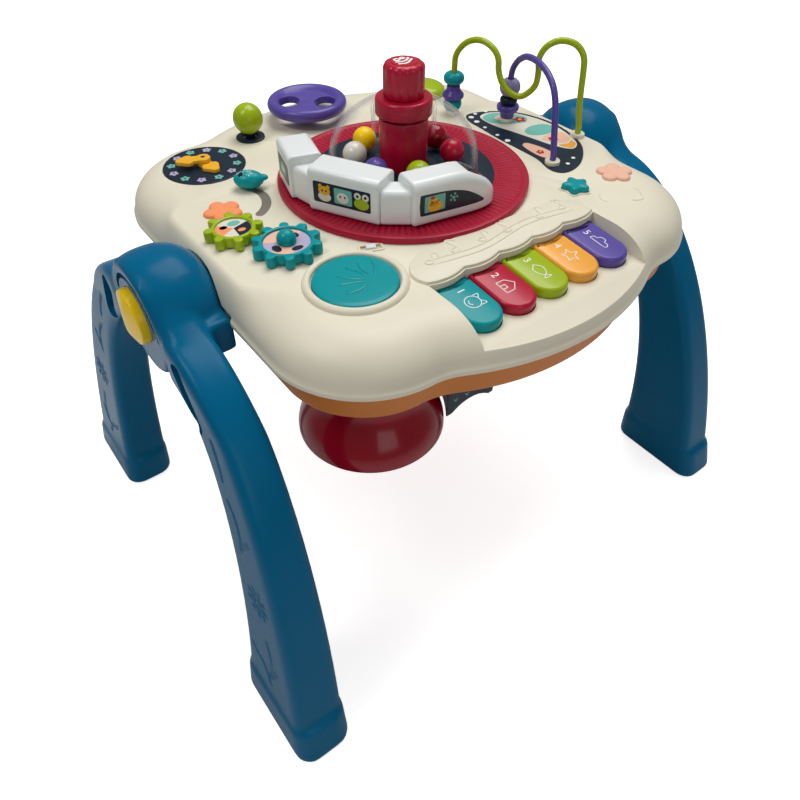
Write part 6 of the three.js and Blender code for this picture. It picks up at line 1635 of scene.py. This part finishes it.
# %% Slider
HEAD_AT, HEAD_TURN = math.radians(26), math.radians(-37)
HEAD_LONG, HEAD_WIDE, HEAD_TALL = 10.4, 7.6, 6.0
head_at = (ARC_AT[0] + ARC_R * math.cos(HEAD_AT), ARC_AT[1] + ARC_R * math.sin(HEAD_AT), DECK_Z + HEAD_TALL + 0.4)
u = np.linspace(0, TURN, 64, endpoint=False)
v = np.linspace(-QUARTER, QUARTER, 33)[:, None]
head_grid = np.stack([HEAD_LONG * np.cos(v) * np.cos(u), HEAD_WIDE * np.cos(v) * np.sin(u),
                      HEAD_TALL * np.sin(v) + 0 * u], -1)
stem = lathe([(0, DECK_Z - 5), (2.4, DECK_Z - 5), (2.4, DECK_Z + 4), (0, DECK_Z + 4)], 24, (*head_at[:2], 0))
head = skin(head_grid)
tail = moved((head[0] * 0.36, head[1]), (HEAD_LONG - 0.8, 1, 1))
piece("slider", [*[moved(turned(part, HEAD_TURN), head_at) for part in (head, tail)], stem], teal, body="slider",
      hides=["slider_head"])


def head_height(long, side):
    """Height of the bead's skin over its middle."""
    return HEAD_TALL * np.sqrt(np.clip(1 - (long / HEAD_LONG) ** 2 - (side / HEAD_WIDE) ** 2, 0, 1))


def on_head(long, side, radius, lift=0.05):
    """A small disc that hugs the bead's top at a place given along and across it."""
    t = np.linspace(0, TURN, 15)[:-1]
    rings = []
    for share, up in ((1, lift - 0.4), (1, lift), (0.5, lift + 0.04), (0.05, lift + 0.05)):
        x, y = long + share * radius * np.cos(t), side + share * radius * np.sin(t)
        rings.append(np.column_stack([x, y, head_height(x, y) + up]))
    return moved(turned(skin(np.stack(rings)), HEAD_TURN), head_at)


piece("slider_eye", [on_head(-4.4, side * 2.8, 1.8, 0.16) for side in (-1, 1)], glass_dark, body="slider")
rng = np.random.default_rng(5)
specks = [on_head(x, y, 0.28, 0.02) for x, y in zip(rng.uniform(-8, 3, 60), rng.uniform(-4.5, 4.5, 60))
          if (x / HEAD_LONG) ** 2 + (y / HEAD_WIDE) ** 2 < 0.6]
piece("slider_glitter", specks, white_print, body="slider")
floor_band = arc_outline(ARC_R, ARC_WIDE - 0.1, ARC_FROM, ARC_TO, ARC_AT)
piece("slot_floor", [stack(floor_band, [(0, DECK_Z - 2.4), (0, DECK_Z - 1.2)])], grey)

# %% [markdown]
# The stick, its socket, the wheel, the star, the lime cap and the switch are simple rounded shapes. Each of the two
# flowers is five round petals about a middle one, as pillows that overlap.

# %% Stick, wheel and buttons
FRAME_UP = 0.7
STICK_DROP, PIVOT_R, STEM_R = 0.8, 5, 3.6


def low_frame(rings, deep):
    """A frame between an inner and an outer outline that stands a little proud of the deck."""
    corners = ((0, -deep), (0, FRAME_UP), (1, FRAME_UP), (1, -deep))
    return skin(np.stack([np.column_stack([rings[k], np.full(len(rings[k]), DECK_Z + up)]) for k, up in corners]),
                wrap_rows=True)


_, stick_low, stick_top, stick_ball_r = upright("gear_stick")
a = np.linspace(-1.2, QUARTER, 30)
ball = list(zip(stick_ball_r * np.cos(a), stick_top - STICK_DROP - stick_ball_r + stick_ball_r * np.sin(a)))
a = np.linspace(-QUARTER, 0.9, 14)
pivot = list(zip(PIVOT_R * np.cos(a), stick_low + PIVOT_R + PIVOT_R * np.sin(a)))
stem_top = ball[0][1] + 0.4
piece("stick", [lathe([(0, ball[0][1]), *ball], 64, (*STICK_AT, 0))], lime, body="stick", hides=["gear_stick"])
stem = lathe([*pivot, (STEM_R, stick_low + 2 * PIVOT_R - 0.6), (STEM_R, stem_top), (0, stem_top)], 48, (*STICK_AT, 0))
piece("stick_stem", [stem], navy, body="stick")
socket = [(5.8, 0.05), (11, 0.05), (10.8, 1.2), (10, 1.7), (7.4, 1.8), (6.3, 1.4)]
piece("socket", [ring_lathe([(r, DECK_Z + up) for r, up in socket], 64, (*STICK_AT, 0))], navy,
      hides=["stick_socket"])

WHEEL_R, WHEEL_TURN, WHEEL_THICK, WHEEL_ROUND = 31.5, math.radians(-37), 9, 4.2
EYE_OUT, EYE_HALF_X, EYE_HALF_Y = 14.2, 8.2, 10.4
_, _, wheel_top, _ = upright("steering_wheel")
wheel_low = wheel_top - WHEEL_THICK
edge = [(WHEEL_R - WHEEL_ROUND + WHEEL_ROUND * math.cos(t), wheel_low + WHEEL_THICK / 2 * (1 + math.sin(t)))
        for t in np.linspace(-QUARTER, QUARTER, 18)]
disc = lathe([(0, wheel_low), *edge, (WHEEL_R - 7.5, wheel_top - 1.2), (WHEEL_R - 9.5, wheel_top - 3.4),
              (8, wheel_top - 3.8), (5, wheel_top - 3.2), (0, wheel_top - 3)], 128)
shaft = lathe(soften([(0, DECK_Z - 22), (7, DECK_Z - 22), (7, DECK_Z + 0.2), (11, DECK_Z + 0.3),
                      (7.5, wheel_low + 0.5), (0, wheel_low + 0.5)], 0.8), 64)
eyes = [stack(oval(side * EYE_OUT, 0, EYE_HALF_X, EYE_HALF_Y, 48), [(0, wheel_low - 1), (0, wheel_top + 1)])
        for side in (-1, 1)]
piece("wheel", placed([disc], WHEEL_TURN, WHEEL_AT), purple, body="wheel", hides=["steering_wheel"],
      cutters=placed(eyes, WHEEL_TURN, WHEEL_AT), bevel=1.4)
piece("wheel_shaft", [moved(shaft, (*WHEEL_AT, 0))], purple, body="wheel")

_, star_low, star_top, _ = upright("star_button")
_, cap_low, cap_top, cap_r = upright("lime_cap")
piece("star", [pillow(wavy(STAR_R, STAR_WAVE, 5, 120, STAR_AT), star_low, star_top - 0.5, 1.8, 0.5)], teal,
      body="star", hides=["star_button"])
star_rings = [wavy(STAR_R + grow, STAR_WAVE, 5, 120, STAR_AT) for grow in (STAR_PLAY, STAR_PLAY + STAR_RIM)]
piece("star_rim", [low_frame(star_rings, 0.5)], cream)
a = np.linspace(0, QUARTER, 20)
swell = list(zip(cap_r * np.cos(a) ** 0.8, DECK_Z + 3 + (cap_top - DECK_Z - 3) * np.sin(a)))
piece("cap", [lathe([(0, cap_low), (cap_r, cap_low), *swell], 96, (*CAP_AT, 0))], lime, body="cap",
      hides=["lime_cap"])

FLOWER_LOW, FLOWER_TOP = DECK_Z - 0.2, DECK_Z + 2.3
PETALS, PETAL_OUT, PETAL_R, FLOWER_HEART_R = 5, 7.7, 5.4, 5.6


def flower(at, turn):
    """Five round petals and a middle, each a small pillow."""
    around = turn + TURN / PETALS * np.arange(PETALS)
    spots = np.array(at) + PETAL_OUT * np.column_stack([np.cos(around), np.sin(around)])
    petals = [pillow(circle(PETAL_R, 40, spot), FLOWER_LOW, FLOWER_TOP - 0.1, 1.9, 0.3) for spot in spots]
    return [*petals, pillow(circle(FLOWER_HEART_R, 40, at), FLOWER_LOW, FLOWER_TOP - 0.3, 1.6, 0.2)]


piece("flower_orange", flower((-124.2, 31.8), 0.4), salmon, hides=["orange_flower"])
piece("flower_peach", flower((124, -86), 0.9), peach, hides=["peach_flower"])

frame_rings = [rounded_rectangle(-x, x, -y, y, corner, 6) for x, y, corner in ((6.5, 2.5, 0.2), (8, 4, 1.6))]
switch_floor = box_part((-6.6, -2.6, DECK_Z - 2.2), (6.6, 2.6, DECK_Z - 1.2))
piece("switch_frame", placed([low_frame(frame_rings, 0.6), switch_floor], SWITCH_TURN, SWITCH_AT), cream)
lever = [box_part((-3, -2.15, DECK_Z - 1.1), (3, 2.15, DECK_Z + 1.9))]
lever += [box_part((x - 0.35, -2.0, DECK_Z + 1.8), (x + 0.35, 2.0, DECK_Z + 2.0)) for x in (-1.8, 0, 1.8)]
piece("switch", placed(lever, SWITCH_TURN, SWITCH_AT), white, body="switch", hides=["power_switch"])
print("buttons done")

# %% [markdown]
# Under the deck hang the battery box and the bell. The box is dark with a pattern of small teal arrows: an outline in
# y and z carried along x. Its underside is a shallow arch, and its side leaves room for the bell; both are cut.

# %% Battery box
box_middle, box_size = where("battery_box")
(box_x0, box_y0, box_z0), (box_x1, box_y1, box_z1) = box_middle - box_size / 2, box_middle + box_size / 2
ARCH_TOOL_R, ARCH_UP, BOX_EDGE, BELL_ROOM_R, BELL_ROOM_LOW = 26, 8, 1.5, 51.3, 170
CHEVRON_SIZE, CHEVRON_ROW, CHEVRON_PITCH = 3.2, 6.5, 10
print("battery box", (box_x0, box_y0, box_z0), (box_x1, box_y1, box_z1))
arch_tool = turned(lathe([(0, -80), (ARCH_TOOL_R, -80), (ARCH_TOOL_R, 80), (0, 80)], 96), QUARTER, "X")
arch_tool = moved(arch_tool, ((box_x0 + box_x1) / 2, (box_y0 + box_y1) / 2, box_z0 + ARCH_UP - ARCH_TOOL_R))
bell_tool = lathe([(0, BELL_ROOM_LOW), (BELL_ROOM_R, BELL_ROOM_LOW), (BELL_ROOM_R, base_z), (0, base_z)], 96,
                  (*bell_at, 0))
top_tool = box_part((box_x0 - 5, box_y0 - 5, box_z1), (box_x1 + 5, box_y1 + 5, box_z1 + 20))
case = along_x(rounded_rectangle(box_y0, box_y1, box_z0, box_z1 + 6, 3, 6), box_x0, box_x1, BOX_EDGE, 4)
piece("battery_case", [case], navy, hides=["battery_box"], cutters=[arch_tool, bell_tool, top_tool],
      bevel=0.5)


def chevron(x, z):
    """A small V as a thin plate on the box's near side."""
    bent = np.array([(-1, 1), (0, -0.2), (1, 1), (1, 0.2), (0, -1), (-1, 0.2)]) * CHEVRON_SIZE / 2
    rings = [np.column_stack([x + bent[:, 0], np.full(6, y), z + bent[:, 1]]) for y in (box_y0 - 0.12, box_y0 + 0.4)]
    return skin(np.stack(rings))


chevrons = [chevron(x, z) for k, z in enumerate(np.arange(box_z1 - 5, box_z0 + 12, -CHEVRON_ROW))
            for x in np.arange(box_x0 + 8 + CHEVRON_PITCH / 2 * (k % 2), box_x1 - 6, CHEVRON_PITCH)]
piece("battery_marks", chevrons, teal_print)
print("under the deck done, marks", len(chevrons))

# %% [markdown]
# The key axle, the circuit board and the speaker are hidden inside the table and keep their plain solids. They get
# finishes of the same kinds, so nothing is left with the default surface.

# %% Finishes of the plain solids
LEFT = {"key_axle": steel, "circuit_board": board_green, "speaker": steel}
for node, finish in LEFT.items():
    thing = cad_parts[node]
    thing = bpy.data.objects[thing] if isinstance(thing, str) else thing
    thing.data.materials.clear()
    thing.data.materials.append(finish)
print("plain solids", len(LEFT))

# %% [markdown]
# A pale floor keeps the shadow, and for the camera it adds a little light of its own, so the background turns white.
# A window at the left, a wide ceiling lamp and a faint one in front give three soft lights, and the pale world fills
# the shadows.

# %% Floor, light and background


def pale_floor():
    """A matt floor that glows slightly for camera rays only."""
    material = bpy.data.materials.new("pale_floor")
    material.use_nodes = True
    tree = material.node_tree
    shader = tree.nodes["Principled BSDF"]
    shader.inputs["Base Color"].default_value = (0.86, 0.86, 0.87, 1)
    shader.inputs["Roughness"].default_value = 0.9
    shader.inputs["Specular IOR Level"].default_value = 0.1
    glow = tree.nodes.new("ShaderNodeEmission")
    camera_only = tree.nodes.new("ShaderNodeLightPath")
    share = tree.nodes.new("ShaderNodeMath")
    share.operation = "MULTIPLY"
    share.inputs[1].default_value = 0.75
    both = tree.nodes.new("ShaderNodeAddShader")
    wire(
        tree, (camera_only.outputs["Is Camera Ray"], share.inputs[0]), (share.outputs[0], glow.inputs["Strength"]),
        (shader.outputs[0], both.inputs[0]), (glow.outputs[0], both.inputs[1]),
        (both.outputs[0], tree.nodes["Material Output"].inputs["Surface"]),
    )
    return material


floor_mesh = bpy.data.meshes.new("floor")
floor_mesh.from_pydata([(-6, -6, 0), (6, -6, 0), (6, 6, 0), (-6, 6, 0)], [], [(0, 1, 2, 3)])
floor_mesh.materials.append(pale_floor())
floor = bpy.data.objects.new("floor", floor_mesh)
bpy.context.collection.objects.link(floor)
floor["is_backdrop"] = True


def lamp(name, at, towards, size, watts):
    """A square soft lamp that looks at a point; places in metres."""
    data = bpy.data.lights.new(name, "AREA")
    data.shape, data.size, data.energy = "SQUARE", size, watts
    thing = bpy.data.objects.new(name, data)
    direction = Vector(towards) - Vector(at)
    thing.matrix_world = Matrix.Translation(at) @ direction.to_track_quat("-Z", "Y").to_matrix().to_4x4()
    bpy.context.collection.objects.link(thing)


lamp("window_lamp", (-0.8, 0.1, 1.4), (0, 0, 0.25), 0.5, 5)
lamp("ceiling_lamp", (0.5, 0.3, 1.7), (0, 0, 0.25), 1.1, 18)
lamp("front_lamp", (-0.4, -1.7, 0.9), (0, 0, 0.2), 0.9, 3)

world = bpy.data.worlds.new("studio")
bpy.context.scene.world = world
world.use_nodes = True
tree = world.node_tree
sky = tree.nodes["Background"]
sky.inputs["Color"].default_value = (1, 1, 1, 1)
path = tree.nodes.new("ShaderNodeLightPath")
seen = tree.nodes.new("ShaderNodeMath")
seen.operation = "MAXIMUM"
level = tree.nodes.new("ShaderNodeMapRange")
level.inputs["To Min"].default_value = 0.2
level.inputs["To Max"].default_value = 1.0
wire(tree, (path.outputs["Is Camera Ray"], seen.inputs[0]), (path.outputs["Is Transmission Ray"], seen.inputs[1]),
     (seen.outputs[0], level.inputs["Value"]), (level.outputs["Result"], sky.inputs["Strength"]))
bpy.context.scene.view_settings.view_transform = "Standard"

# %% [markdown]
# The box of the imported model and the box of the finished pieces are both written down. The finished pieces must
# stay inside the box of the imported model.

# %% Sizes and finish
new_low, new_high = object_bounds()
print("pieces", len(made), "faces", sum(made.values()))
for name, corners in (("packed", (*cad_low, *cad_high)), ("finished", (*new_low, *new_high))):
    print(name, [round(v, 5) for v in corners])
